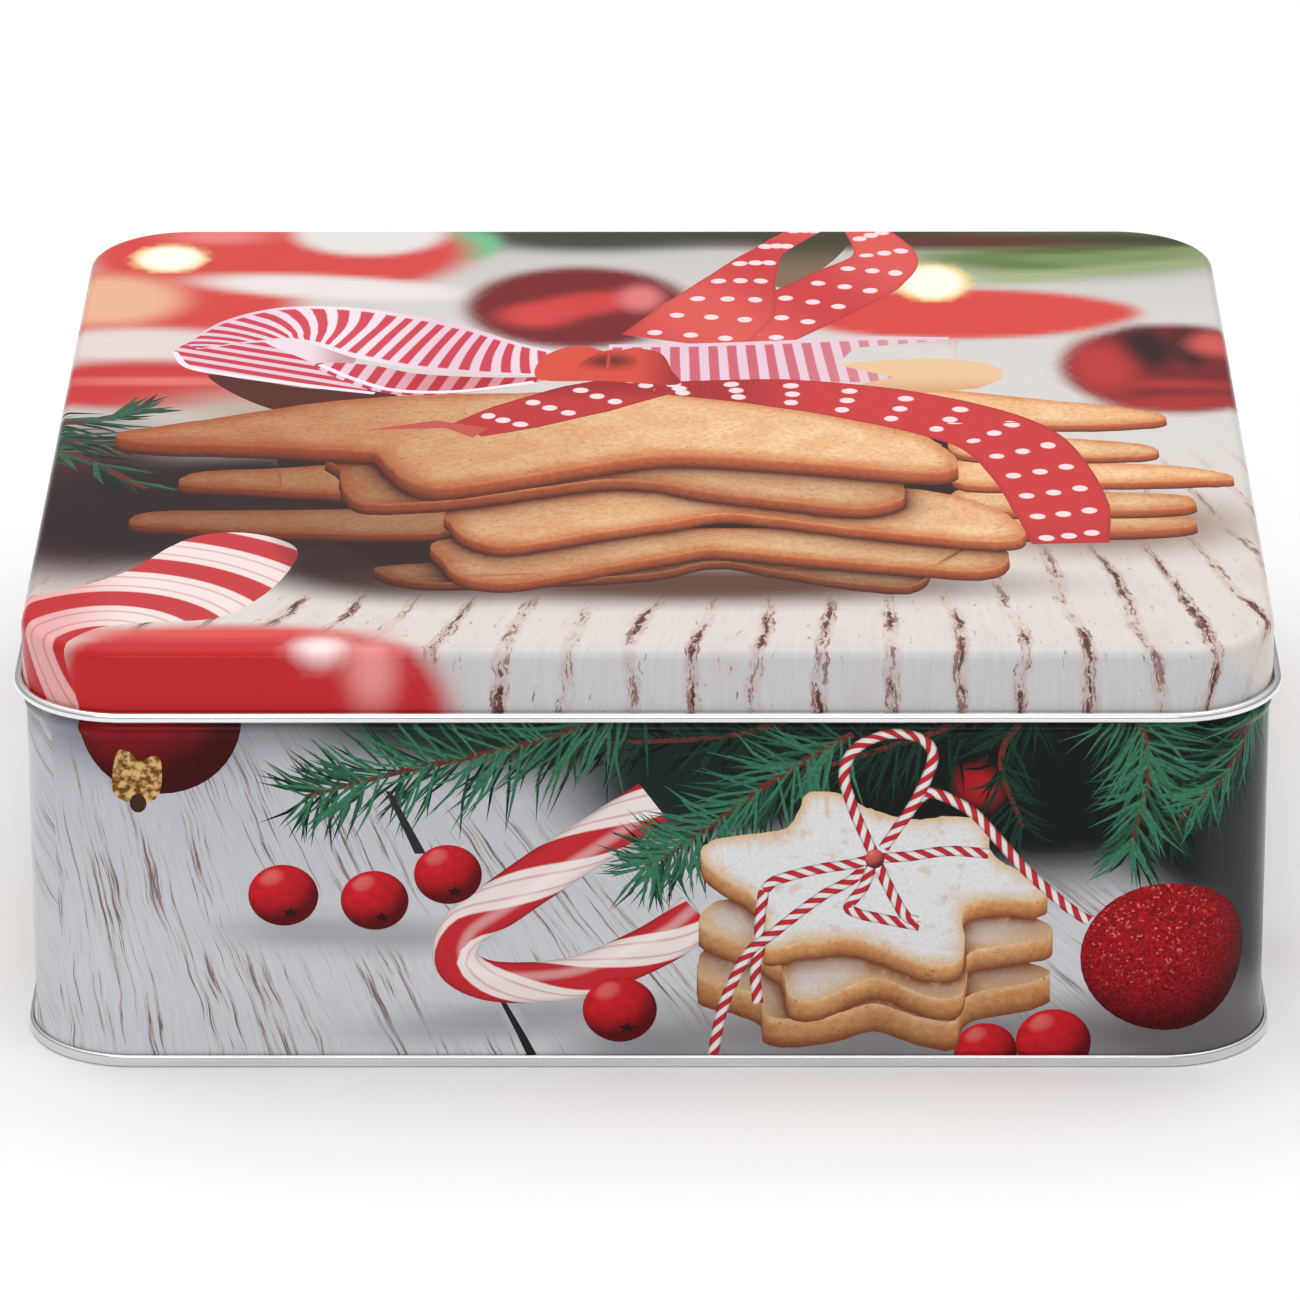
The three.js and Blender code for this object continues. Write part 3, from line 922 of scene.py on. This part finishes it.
def lid_ribbons(drawing):
    """A bow of dotted and striped ribbon round the stack."""
    red, dark, light = rgb(204, 56, 58), rgb(142, 28, 34), rgb(222, 88, 82)
    white, pink = rgb(244, 228, 236), rgb(232, 200, 216)

    def folded(p):
        return mixed(light, red, 0.5 + 0.5 * np.sin(p[:, 0] * 0.11 + p[:, 1] * 0.06))

    def tail(p):
        return mixed(red, dark, smooth(p[:, 1], -44, -60) * 0.25 + smooth(p[:, 0], 34, 12) * 0.6)

    def under(p):
        return mixed(red, dark, 0.25 + 0.5 * smooth(p[:, 1], 12, 22))

    def satin(p):
        return opaque(mixed(white, pink, 0.5 + 0.5 * np.sin(p[:, 0] * 0.13)))

    def inner(p):
        return opaque(mixed(pink, rgb(214, 140, 150), smooth(p[:, 0], -58, -40)))

    def faded(p):
        share = smooth(p[:, 0], 20, 60)
        return opaque(mixed(pink, rgb(228, 200, 206), share), 0.85 - 0.4 * share)

    def leaning(x, y):
        """Stripes across the slanting direction x, y."""
        return lambda p: np.column_stack([p @ [x, y], 0 * p[:, 0]])

    def shadow(p):
        return mixed(rgb(104, 28, 20), rgb(206, 70, 54),
                     smooth(np.hypot((p[:, 0] + 8) / 8, (p[:, 1] - 35) / 6), 0.1, 0.95))

    lay, band = drawing.lay, drawing.band
    lay(blob(24, 112, 40, 112, 38, 98, 32, 84, 25, 76, 23, 86, 22, 98), "soft",
        fade((60, 58, 36), (128, 104, 82), 1, 104, 84))
    dotted_band(drawing, line(17, 46, 28, 63, 40, 80, 46, 94, 42, 112), [17, 20, 19, 13, 8], folded)
    dotted_band(drawing, line(6, 45, 13, 63, 18, 82, 23, 97, 32, 112), [25, 23, 13, 6.5, 6], folded)
    band(line(-8, 33, 8, 33, 24, 33.5, 44, 35, 58, 36), [22, 23, 25, 27, 24], "striped", faded)
    lay(points(58.5, 46.8, 39, 42, 35.5, 33, 44, 33, 58.5, 35), "soft",
        fade((214, 209, 204), (212, 170, 166), 1, 43, 48))
    lay(points(36, 20, 46, 26, 36, 32.5, 40, 34.5, 47, 35.8, 57, 36, 64, 34, 67, 30, 66.5, 25, 62, 20,
               50, 17, 38, 17), "soft", fade((232, 194, 152), (214, 160, 116), 1, 27, 17))
    lay(blob(-91, 40, -88, 45.5, -80, 48, -73, 45.5, -67, 37, -60, 30, -53, 18, -60, 20, -71, 24,
             -82, 28, -89, 33), "striped", inner, leaning(0.42, 0.91))
    band(line(-91, 40, -88, 32, -80, 27.5, -70, 23.5, -60, 20, -52, 17.5), [1, 1.6, 1.6, 1.6, 1.2],
         "soft", rgb(246, 232, 242))
    lay(blob(-74, 46, -65, 47, -57, 40, -57, 33, -62, 32, -67, 37), "soft",
        fade((238, 218, 228), (196, 150, 156), 0, -66, -58))
    lay(blob(-64, 33, -54, 33, -44, 28, -30, 26, -20, 26, -22, 23, -34, 18, -46, 16.5, -55, 21),
        "striped", inner, leaning(0.86, -0.2))
    band(line(-63, 33, -56, 25, -48, 19, -36, 18.5, -22, 23.5), [1.2, 1.5, 1.4], "soft",
         rgb(246, 232, 242))
    band(line(-19, 33, -30, 37, -40, 42, -50, 48, -60, 54, -70, 55.5, -79, 51, -88, 43),
         [13, 19, 25, 26, 22, 19, 14, 4], "striped", satin, slant=3)
    dotted_band(drawing, line(3, 24, -12, 14.5, -25, 5, -34, -2), [12, 16, 14, 9], under)
    lay(points(-40, 3, -53, -2, -38, -1, -33, -6, -30, -1), "soft", rgb(196, 84, 74))
    dotted_band(drawing, line(1, 20.5, 24, 17.6, 43, 11, 58, 2, 67, -8, 72, -24, 75, -42, 76, -59.5),
                [6, 15, 19, 20, 20, 19, 18, 14], tail)
    lay(blob(-21, 25, -20.5, 37, -14, 43.5, -8, 40, -3, 42, 2, 39, 4, 30, 5, 22, -8, 24), "soft",
        fade((214, 76, 58), (160, 36, 34), 0, -4, 6))
    lay(blob(-14, 32, -8, 41, -3, 38, -3, 31, -8, 29), "soft", shadow)


def lid_cane(drawing):
    """A cane's hook, its stripes curving round the end that shows."""

    def shade(p):
        colour = mixed(rgb(255, 248, 246), rgb(246, 190, 190), smooth(p[:, 0], -90, -106))
        return colour * (1 - 0.35 * smooth(p[:, 0] + 0.25 * p[:, 1], -84, -80))[:, None]

    def round_the_hook(p):
        turns = np.hypot(p[:, 0] + 95, 0.86 * (p[:, 1] + 110)) / 8.2
        return np.column_stack([turns, 0 * turns])

    drawing.lay(blob(-86, -61, -81, -55.5, -74, -54, -67, -57, -63, -63, -64.5, -74, -69, -86, -76, -95,
                     -88, -97, -97, -100, -103, -110, -106, -126, -126, -126, -126, -88, -108, -84,
                     -96, -76, -90, -68), "candy", shade, round_the_hook)


def draw_lid():
    sheet = square_loop(PANEL_HALF + SKIRT, PANEL_R + SKIRT)
    drawing = Drawing(sheet, "lid_wood", lid_field, lid_boards)
    green = (rgb(12, 26, 22), rgb(52, 96, 72))
    twigs = (-126, 8, -108, 2, -96, 8), (-126, -8, -108, -14, -92, -32), (-126, 2, -110, -6, -98, -10)
    for seed, twig in enumerate(twigs):
        needles(drawing, line(*twig), 16, 1.3, 34, 5 + seed, green, (6, 40))
    lid_biscuits(drawing)
    lid_ribbons(drawing)
    lid_cane(drawing)
    return drawing


def grid_points(low, high, spacing):
    x = np.arange(low[0], high[0], spacing)
    y = np.arange(low[1], high[1], spacing)
    gx, gy = np.meshgrid(x, y)
    gx[1::2] += spacing / 2
    return np.stack([gx.ravel(), gy.ravel()], 1)


def closely(loop, spacing):
    """A closed line along a loop, with points no further apart than the spacing."""
    parts = []
    for a, b in zip(loop, np.roll(loop, -1, 0)):
        count = max(1, math.ceil(np.hypot(*(b - a)) / spacing))
        parts.append(a + (b - a) * np.linspace(0, 1, count, endpoint=False)[:, None])
    return np.concatenate(parts + [loop[:1]])


def build_lid_print():
    """Guide lines run round the edge radius and the skirt, so that the fold is even."""
    depths = [BEND * share for share in (0, 0.2, 0.4, 0.6, 0.8, 1.0)] + [BEND + 3.4, BEND + 6.8]
    guides = [closely(square_loop(PANEL_HALF + d, PANEL_R + d, 18), 2.4) for d in depths]
    reach = PANEL_HALF + SKIRT
    grid = grid_points((-reach, -reach), (reach, reach), 2.1)
    return build_print("lid_print", draw_lid(), guides, grid, fold_lid)


# ---------------------------------------------------------------------------------------------
# The wall's print: sugared stars, a sugar cane, berries and fir on pale boards, round all four
# sides. s runs along the wall from the middle of the front, and z is the height.

WALL_START = -SIDE_PITCH / 2
WALL_END = WALL_START + 4 * SIDE_PITCH
PRINT_TOP = 67.0
FLARE = (0.5, 2.5, 6.0)
BEAD = (0.55, 64.4, 1.8)
NECK = (-0.45, 66.6)
DARK_FIR = (14, 20, 19)


def wall_offset(z):
    """How far the wall's outer face stands out from its plain part, and the slope there."""
    flare_out, flare_low, flare_high = FLARE
    bead_out, bead_z, bead_half = BEAD
    neck_out, neck_z = NECK

    def eased(t):
        inside = (t > 0) & (t < 1)
        t = np.clip(t, 0, 1)
        return (1 - np.cos(np.pi * t)) / 2, np.where(inside, np.pi / 2 * np.sin(np.pi * t), 0)

    flare, flare_rate = eased((z - flare_low) / (flare_high - flare_low))
    rise, rise_rate = eased((z - bead_z + bead_half) / bead_half)
    fall, fall_rate = eased((z - bead_z) / (neck_z - bead_z))
    offset = flare_out * (1 - flare) + bead_out * rise + (neck_out - bead_out) * fall
    slope = (-flare_out * flare_rate / (flare_high - flare_low) + bead_out * rise_rate / bead_half
             + (neck_out - bead_out) * fall_rate / (neck_z - bead_z))
    return offset, slope


def fold_wall(p):
    s, z = p[:, 0], p[:, 1]
    offset, slope = wall_offset(z)
    quarter = np.floor((s + SIDE_PITCH / 2) / SIDE_PITCH)
    local = s - quarter * SIDE_PITCH
    bend = np.maximum(np.abs(local) - FLAT, 0) / CORNER_R
    sign = np.where(local < 0, -1.0, 1.0)
    radius = CORNER_R + offset
    x = np.where(bend > 0, sign * (FLAT + radius * np.sin(bend)), local)
    y = -(FLAT + radius * np.cos(bend))
    nx, ny = sign * np.sin(bend), -np.cos(bend)
    a = quarter * math.pi / 2
    c, s_ = np.cos(a), np.sin(a)
    place = np.column_stack([x * c - y * s_, x * s_ + y * c, z])
    normal = np.column_stack([nx * c - ny * s_, nx * s_ + ny * c, -slope])
    return place, normal / np.linalg.norm(normal, axis=1)[:, None]


def wall_field(p):
    """Pale boards, dark under the fir along the top. Alpha is how sharp the boards are. The two
    scenes follow each other round the wall twice."""
    side = SIDE_PITCH
    local = np.column_stack([(p[:, 0] + side / 2) % (2 * side) - side / 2, p[:, 1]])
    colour = opaque(mixed(rgb(208, 209, 213), rgb(194, 196, 203), smooth(p[:, 1], 15, 60)))
    return soft_spots(colour, local, [
        (-90, 70, 26, 12, 0, 0.6, 120, 122, 132),
        (-26, 68, 40, 12, -3, 0.45, 26, 40, 34),
        (20, 58, 34, 14, 10, 0.35, 20, 36, 32),
        (64, 58, 46, 22, -4, 0.3, *DARK_FIR),
        (100, 56, 18, 28, 0, 0.3, *DARK_FIR),
        (58, 54, 4, 3.2, -30, 0.5, 170, 26, 32),
        # The next spot is a painted dark reflection: a grey band down the whole height of the rounded
        # right corner, where the glossy corner would mirror a dark room. The scenes repeat, so it comes
        # again on the corner two sides round.
        (112, 34, 14, 34, 0, 0.5, 52, 54, 56),
        (-60, 26, 13, 3, 0, 0.8, 166, 168, 174),
        (-44, 25, 12, 3, 0, 0.8, 166, 168, 174),
        (-24, 9, 22, 3.4, 6, 0.8, 164, 164, 170),
        (0, 4, 12, 3, 0, 0.8, 154, 154, 160),
        (40, 6, 40, 7, 0, 0.7, 132, 128, 130),
        (98, 6, 26, 8, 0, 0.7, 104, 98, 100),
        (side - 60, 64, 40, 16, 0, 0.35, *DARK_FIR),
        (side + 40, 66, 52, 12, 0, 0.4, 40, 54, 50),
        (side + 82, 68, 18, 9, 0, 0.5, *DARK_FIR),
        (side - 20, 8, 60, 6, 0, 0.8, 150, 150, 156),
        (side + 52, 8, 30, 6, 0, 0.8, 140, 138, 142),
    ])


def wall_boards(p):
    """Boards running up towards a vanishing point over the left corner, anew on each side."""
    vanish_s, vanish_z, side_shift = -127, 206, 400
    side = np.floor((p[:, 0] + SIDE_PITCH / 2) / SIDE_PITCH)
    s = p[:, 0] - side * SIDE_PITCH
    far = vanish_z - p[:, 1]
    return np.column_stack([(s - vanish_s) * vanish_z / far + side_shift * side, p[:, 1]])


def berry(drawing, s, z, radius):
    drawing.ball((s, z), radius, "berry", rgb(196, 26, 36), 0.95)
    a = np.linspace(0.3, 2 * math.pi + 0.3, 10, endpoint=False)
    reach = radius * np.where(np.arange(10) % 2 == 0, 0.26, 0.12)
    mark = np.column_stack([reach * np.cos(a), 0.7 * reach * np.sin(a)])
    drawing.lay(mark + [s + 0.2 * radius, z - 0.55 * radius], "soft", rgb(46, 10, 12))


def bauble_with_cap(drawing, s, z, radius):
    """A plain glass bauble hanging upside down, its gilt cap and ring below it."""
    drawing.ball((s, z), radius, "berry", rgb(140, 16, 26))
    middle = np.array([s - 3.5, z - 1.02 * radius])
    cap = blob(-4, 8, -2, 8.4, 0, 6.5, 2.6, 7.6, 3.8, 6, 3.4, 0.5, 1, -1.4, -3, -1, -5, 1.5)
    drawing.lay(cap + middle, "gold", rgb(226, 190, 120))
    t = np.linspace(0.2, 2 * math.pi + 0.1, 26)
    ring = np.column_stack([np.cos(t), np.sin(t)]) * 3.6 + middle - [0.5, 1.5]
    drawing.band(ring, [2.6], "gold", rgb(214, 170, 96))
    drawing.lay(ellipse(middle - [0.5, 1.5], (1.5, 1.8), 0, 16), "soft", rgb(62, 40, 22))


def placed(shape, s, z, scale, flip=1):
    return shape * np.array([flip * scale, scale]) + np.array([s, z])


def sugar_stack(drawing, s, z, scale, flip, seed):
    """Three star biscuits under icing sugar. The twine's knot on them comes at s, z."""
    cream = (rgb(230, 229, 231), rgb(222, 190, 150), rgb(214, 160, 106), rgb(120, 58, 34))
    stack = [
        ((-31, -20, -28, -17, -8, -16, 16, -18, 30, -21, 30, -23, 25, -24.5, 18, -26, 15.5, -28,
         15, -31, 12, -31.5, 6, -30, 0, -28, -7, -30, -15, -31, -19.5, -30, -20, -27, -25, -24.5,
         -30.5, -23), 5.5, 0.9),
        ((-31, -12, -29, -9, -24, -7.5, 0, -6, 20, -9, 30, -12, 31, -15, 24, -16.5, 17, -18,
         16.5, -22, 15.5, -26, 12.5, -27, 8, -26, 4, -24, 0, -23, -4, -24.5, -8, -26.5, -12, -27.5,
         -15, -26.5, -16, -22, -17, -20, -22, -17, -29, -14), 4.2, 0.96),
        ((-30.5, 0, -30, 2.5, -27, 4, -20, 5, -15.5, 6, -13.5, 9, -12.5, 12, -10.5, 13, -6, 12.5,
         -3, 10.5, 0, 9.3, 4, 8, 8, 7.6, 13, 8.2, 18, 7.6, 20, 5.5, 20, 2.5, 21.5, 0, 25, -2,
         29, -4.5, 30.5, -6.8, 28, -8.2, 22, -7.8, 17, -8.6, 15.5, -11, 16, -15, 15.5, -19,
         13, -20.6, 8, -20, 2, -17.5, -4, -15.5, -12, -16, -18, -17.4, -19.8, -16, -19.6, -12,
         -20.6, -8.5, -23, -6, -27, -3.5), 3.4, 1.0),
    ]
    shapes = [placed(crumbled(blob(*knots, steps=4), 0.12, seed + i), s, z, scale, flip)
              for i, (knots, _, _) in enumerate(stack)]
    pile(drawing, shapes, stack, scale, lambda level: lambda p: np.full((len(p), 3), level), cream,
         "sugar", "dough")


def twine_bow(drawing, s, z, scale, flip):
    """Twine crossing a stack, with a loop above and its ends below. The knot is at s, z."""
    courses = [
        line(-19.5, -6, -20.2, -12, -20.2, -17, -21, -22, -20.5, -28),
        line(0, 0, -4, -4, -9, -7, -14, -11, -18, -14.5, -22, -18, -25, -24, -27, -30, -28.5, -38),
        line(-19.5, -6, -17, -4, -10, -2, -4, -1, 0, 0, 6, 0.5, 13, 1.5, 20, 1),
        line(6.5, 10, 9, 12.5, 12, 12, 17, 9, 21, 4.5, 26, -1.5, 31, -6.5, 35, -10, 38, -12),
        line(0, 0.5, -2, 5, -4, 10, -5.5, 16, -4, 20.5, 0, 23.3, 4, 24, 8, 23, 10, 20, 9, 15.5,
         6.5, 10, 4, 6, 1.5, 2),
        line(0, 0, -2, -5.5, -4.5, -9, -3, -10.5, 1, -11.5, 8, -13),
        line(0, 0, 3, -6.5, 5.5, -11, 7.5, -12),
    ]
    for course in courses:
        drawing.band(placed(course, s, z, scale, flip), [2.0 * scale], "twine", rgb(255, 255, 255))
    drawing.ball((s, z), 1.7 * scale, "berry", rgb(206, 90, 90), 1.1)


def cane(drawing, s, z, flip):
    """A candy cane lying on its side, the inside of its bend at s, z."""
    hook = line(31, 27, 22, 20.5, 12, 13.5, 4, 7.5, -2.5, 2.5, -4, -3.5, 0, -7, 7, -8, 17, -7, 26, -3.5,
        34, 1, 39, 5.5)
    drawing.band(placed(hook, s, z, 1.0, flip), [8.6, 9, 9.4, 9.2, 8.6, 8, 7.8, 8, 8.2, 8.6, 8.8, 8.6],
                 "fine_candy", rgb(255, 252, 250), unit=4.4)


FIR = (rgb(5, 24, 18), rgb(58, 118, 88))
DEEP_FIR = (rgb(5, 13, 10), rgb(22, 56, 43))


def branch(drawing, s, knots, length, count, seed, colours):
    course = line(*knots) + np.array([s, 0])
    needles(drawing, course, length, 0.6, count, seed, colours, (16, 70), 0.1)


def front_scene(drawing, s):
    branch(drawing, s, (40, 72, 16, 64, -8, 62), 13, 110, 10, DEEP_FIR)
    branch(drawing, s, (64, 70, 44, 62, 26, 56), 13, 110, 11, DEEP_FIR)
    branch(drawing, s, (116, 70, 100, 58, 92, 44), 13, 110, 12, DEEP_FIR)
    branch(drawing, s, (70, 72, 62, 60, 66, 46), 12, 90, 16, DEEP_FIR)
    branch(drawing, s, (2, 72, -18, 63, -42, 57, -60, 52), 17, 230, 13, FIR)
    branch(drawing, s, (84, 72, 88, 58, 85, 42), 15, 170, 14, FIR)
    branch(drawing, s, (110, 66, 103, 56, 96, 50), 12, 90, 17, FIR)
    drawing.lay(points(-46, 53, -45, 53, -39, 41, -41, 41) + [s, 0], "soft", rgb(40, 44, 46))
    drawing.lay(points(-26.5, 13, -25.6, 13, -18.6, 0, -20.6, 0) + [s, 0], "soft", rgb(34, 32, 36))
    bauble_with_cap(drawing, s - 85.5, 67, 14.5)
    cane(drawing, s - 30, 24, 1)
    branch(drawing, s, (36, 64, 22, 55, 8, 44, -1, 38), 14, 230, 15, FIR)
    for ds, z, radius in ((-64.3, 33, 6.2), (-48.2, 32, 6.0), (-35.2, 37, 6.0), (-5, 10.8, 6.6),
                          (60, 2.8, 5.6), (72, 4.5, 6.7)):
        berry(drawing, s + ds, z, radius)
    sugar_stack(drawing, s + 40, 40, 1.0, 1, 60)
    drawing.ball((s + 92, 21), 15.5, "glitter", rgb(160, 14, 26), 0.92)
    twine_bow(drawing, s + 40, 40, 1.0, 1)


def side_scene(drawing, s):
    branch(drawing, s, (-20, 72, -44, 64, -66, 58), 13, 110, 20, DEEP_FIR)
    branch(drawing, s, (70, 72, 44, 64, 18, 60), 14, 160, 22, DEEP_FIR)
    branch(drawing, s, (-108, 72, -84, 63, -58, 52), 14, 220, 21, FIR)
    branch(drawing, s, (92, 74, 80, 66, 70, 58), 12, 130, 23, FIR)
    cane(drawing, s - 22, 26, -1)
    for ds, z, radius in ((-78, 30, 6), (-86, 19, 6.4), (8, 36, 6), (19, 31, 5.6), (4, 12, 6.4)):
        berry(drawing, s + ds, z, radius)
    sugar_stack(drawing, s + 54, 38, 0.95, -1, 80)
    twine_bow(drawing, s + 54, 38, 0.95, -1)
    drawing.ball((s - 63, 14), 12, "glitter", rgb(160, 14, 26), 0.95)


def draw_wall():
    low = wall_low[2]
    sheet = points(WALL_START, low, WALL_END, low, WALL_END, PRINT_TOP, WALL_START, PRINT_TOP)
    drawing = Drawing(sheet, "wall_wood", wall_field, wall_boards)
    for side, scene in enumerate((front_scene, side_scene, front_scene, side_scene)):
        scene(drawing, side * SIDE_PITCH)
    return drawing


def build_wall_print():
    """Guide lines run up every corner and along the flare and the bead, so that the fold is even."""
    flare_low, flare_high, bead_low = 0.6, 6.0, 62.6
    rows = [flare_low, 1.6, 2.5, 3.2, 3.8, 4.4, 5.2, flare_high, bead_low, 62.95, 63.3, 63.65, 64.0,
            64.4, 64.8, 65.2, 65.6, 66.0, 66.3, 66.6, PRINT_TOP]
    heights = sorted(rows + np.linspace(flare_high, bead_low, 24)[1:-1].tolist())
    bends = [(side - 1) * SIDE_PITCH + FLAT + CORNER_ARC * step / 12
             for side in range(5) for step in range(13)]
    creases = [WALL_START] + [s for s in bends if WALL_START < s < WALL_END] + [WALL_END]
    flats = [side * SIDE_PITCH + FLAT * share
             for side in range(4) for share in np.linspace(-1, 1, 77)[1:-1]]
    guides = [np.array([(s, z) for s in sorted(creases + flats)]) for z in rows]
    guides += [np.array([(s, z) for z in heights]) for s in creases]
    grid = grid_points((WALL_START, flare_low), (WALL_END, PRINT_TOP), 2.4)
    return build_print("wall_print", draw_wall(), guides, grid, fold_wall)


# ---------------------------------------------------------------------------------------------
# Bare metal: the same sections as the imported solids, carried round with more steps


def arc(offset, z, radius, start, end, steps):
    t = np.radians(np.linspace(start, end, steps + 1))
    return np.column_stack([offset + radius * np.cos(t), z + radius * np.sin(t)]).tolist()


def sweep(name, section, material, closed, caps=()):
    """A section of offset and z carried round the tin. caps are the section points whose ring is
    filled in, flat."""
    steps = 20
    rings = [square_loop(HALF_SIDE + offset, CORNER_R + offset, steps) for offset, _ in section]
    count, around = len(section), len(rings[0])
    verts = [(*rings[j][i], section[j][1]) for i in range(around) for j in range(count)]
    faces = []
    for i in range(around):
        here, after = i * count, (i + 1) % around * count
        for j in range(count if closed else count - 1):
            k = (j + 1) % count
            faces.append((here + j, after + j, after + k, here + k))
    for j in caps:
        ring = [i * count + j for i in range(around)]
        faces.append(ring if j else ring[::-1])
    mesh = bpy.data.meshes.new(name)
    mesh.from_pydata([tuple(np.array(v) * MM) for v in verts], [], faces)
    mesh.polygons.foreach_set("use_smooth", [True] * len(faces))
    mesh.materials.append(material)
    piece = bpy.data.objects.new(name, mesh)
    bpy.context.scene.collection.objects.link(piece)
    return piece


def rolled_edge(offset, z, radius, start, end):
    return arc(offset, z, radius, start, end, 26) + arc(offset, z, radius - SHEET, end, start, 20)


def build_metal():
    """Everything that isn't printed. Returns each piece with its body and the node it replaces."""
    bright = tinplate("rolled_rim_tinplate", rgb(240, 240, 240), 0.14, 0.26, 300)
    inside = tinplate("inside_tinplate", rgb(206, 207, 207), 0.28, 0.42, 60)
    seam = tinplate("seam_tinplate", rgb(226, 227, 228), 0.16, 0.28, 300)
    rim_z = curl_low[2]
    curl_r = (curl_high[0] - HALF_SIDE - LID_OFFSET + SHEET) / 2
    curl_offset = LID_OFFSET - SHEET + curl_r
    curl = rolled_edge(curl_offset, rim_z + curl_r, curl_r, 180, 485)
    lid_curl = sweep("lid_curl", curl, bright, True)

    edge = LID_OFFSET - LID_EDGE_R
    edge_z = LID_TOP - LID_EDGE_R
    lining = arc(edge, edge_z, LID_EDGE_R - SHEET, 90, 0, 8)
    lining += [[LID_OFFSET - SHEET, LID_RIM], [LID_OFFSET - 0.03, LID_RIM]]
    lid_lining = sweep("lid_lining", lining, inside, False, caps=(0,))

    neck_out, _ = NECK
    outer_rows = np.linspace(PRINT_TOP, hem_high[2] - 0.9, 3)
    inner_rows = np.concatenate([np.linspace(hem_high[2] - 0.9, 66.8, 3), np.linspace(66.6, 62.6, 15),
                                 np.linspace(6.0, 2.5, 8), [wall_low[2]]])
    face = [[neck_out, z] for z in outer_rows]
    face += [[float(wall_offset(np.array([z]))[0][0]) - SHEET, z] for z in inner_rows]
    face += [[FLARE[0] - 0.03, wall_low[2]]]
    wall_lining = sweep("wall_lining", face, inside, False)

    hem_r = (hem_high[2] - hem_low[2]) / 2
    hem = rolled_edge(neck_out - hem_r, hem_high[2] - hem_r, hem_r, 0, 300)
    mouth_hem = sweep("mouth_hem", hem, bright, True)

    chuck = pan_high[0] - HALF_SIDE
    seam_out = seam_high[0] - HALF_SIDE
    seam_top = seam_high[2]
    bottom_r, top_r, lip = 0.6, 0.55, 0.62
    ring = arc(chuck, SHEET, SHEET, 180, 270, 5)
    ring += arc(seam_out - bottom_r, bottom_r, bottom_r, 270, 360, 8)
    ring += arc(seam_out - top_r, seam_top - top_r, top_r, 0, 90, 8)
    ring += [[lip, seam_top], [lip, seam_top - SHEET]]
    ring += arc(seam_out - top_r, seam_top - top_r, top_r - SHEET, 90, 0, 6)
    ring += arc(seam_out - bottom_r, bottom_r, bottom_r - SHEET, 360, 270, 6)
    ring += [[chuck, SHEET]]
    seam_ring = sweep("seam_ring", ring, seam, True)

    step_out, step_in = -12.6, -14.0
    pan_top = pan_high[2]
    edge_r = 0.8
    flat_z = pan_top - 0.8
    pan = [[step_in, pan_top - SHEET], [step_out, flat_z - SHEET]]
    pan += arc(chuck - edge_r, flat_z - edge_r, edge_r - SHEET, 90, 0, 6)
    pan += [[chuck - SHEET, SHEET], [chuck, SHEET]]
    pan += arc(chuck - edge_r, flat_z - edge_r, edge_r, 0, 90, 6)
    pan += [[step_out + SHEET / 2, flat_z], [step_in + SHEET / 2, pan_top]]
    base_pan = sweep("base_pan", pan, inside, False, caps=(0, len(pan) - 1))

    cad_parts["body_side_seam"].data.materials.clear()
    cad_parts["body_side_seam"].data.materials.append(inside)
    return [
        (lid_curl, "lid", "lid_rim_curl"),
        (lid_lining, "lid", None),
        (wall_lining, "tin_body", None),
        (mouth_hem, "tin_body", "body_mouth_hem"),
        (seam_ring, "tin_body", "base_seam_ring"),
        (base_pan, "tin_body", "base_panel"),
    ]


def build_floor():
    half = 5.0
    mesh = bpy.data.meshes.new("floor")
    corners = [(-half, -half, 0), (half, -half, 0), (half, half, 0), (-half, half, 0)]
    mesh.from_pydata(corners, [], [(0, 1, 2, 3)])
    paper = Shader("pale_floor")
    tone = paper.mix(paper.noise(paper.solid_place(), 3), rgb(247, 247, 247), rgb(250, 250, 250))
    mesh.materials.append(paper.finish(base_color=tone, roughness=0.6, specular_ior_level=0.1))
    floor = bpy.data.objects.new("floor", mesh)
    bpy.context.scene.collection.objects.link(floor)


build_camera()
build_studio()
build_floor()

lid_print = build_lid_print()
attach(lid_print, "lid")
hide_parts("lid_shell")

wall_print = build_wall_print()
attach(wall_print, "tin_body")
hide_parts("body_wall")

for piece, body, node in build_metal():
    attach(piece, body)
    if node:
        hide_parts(node)
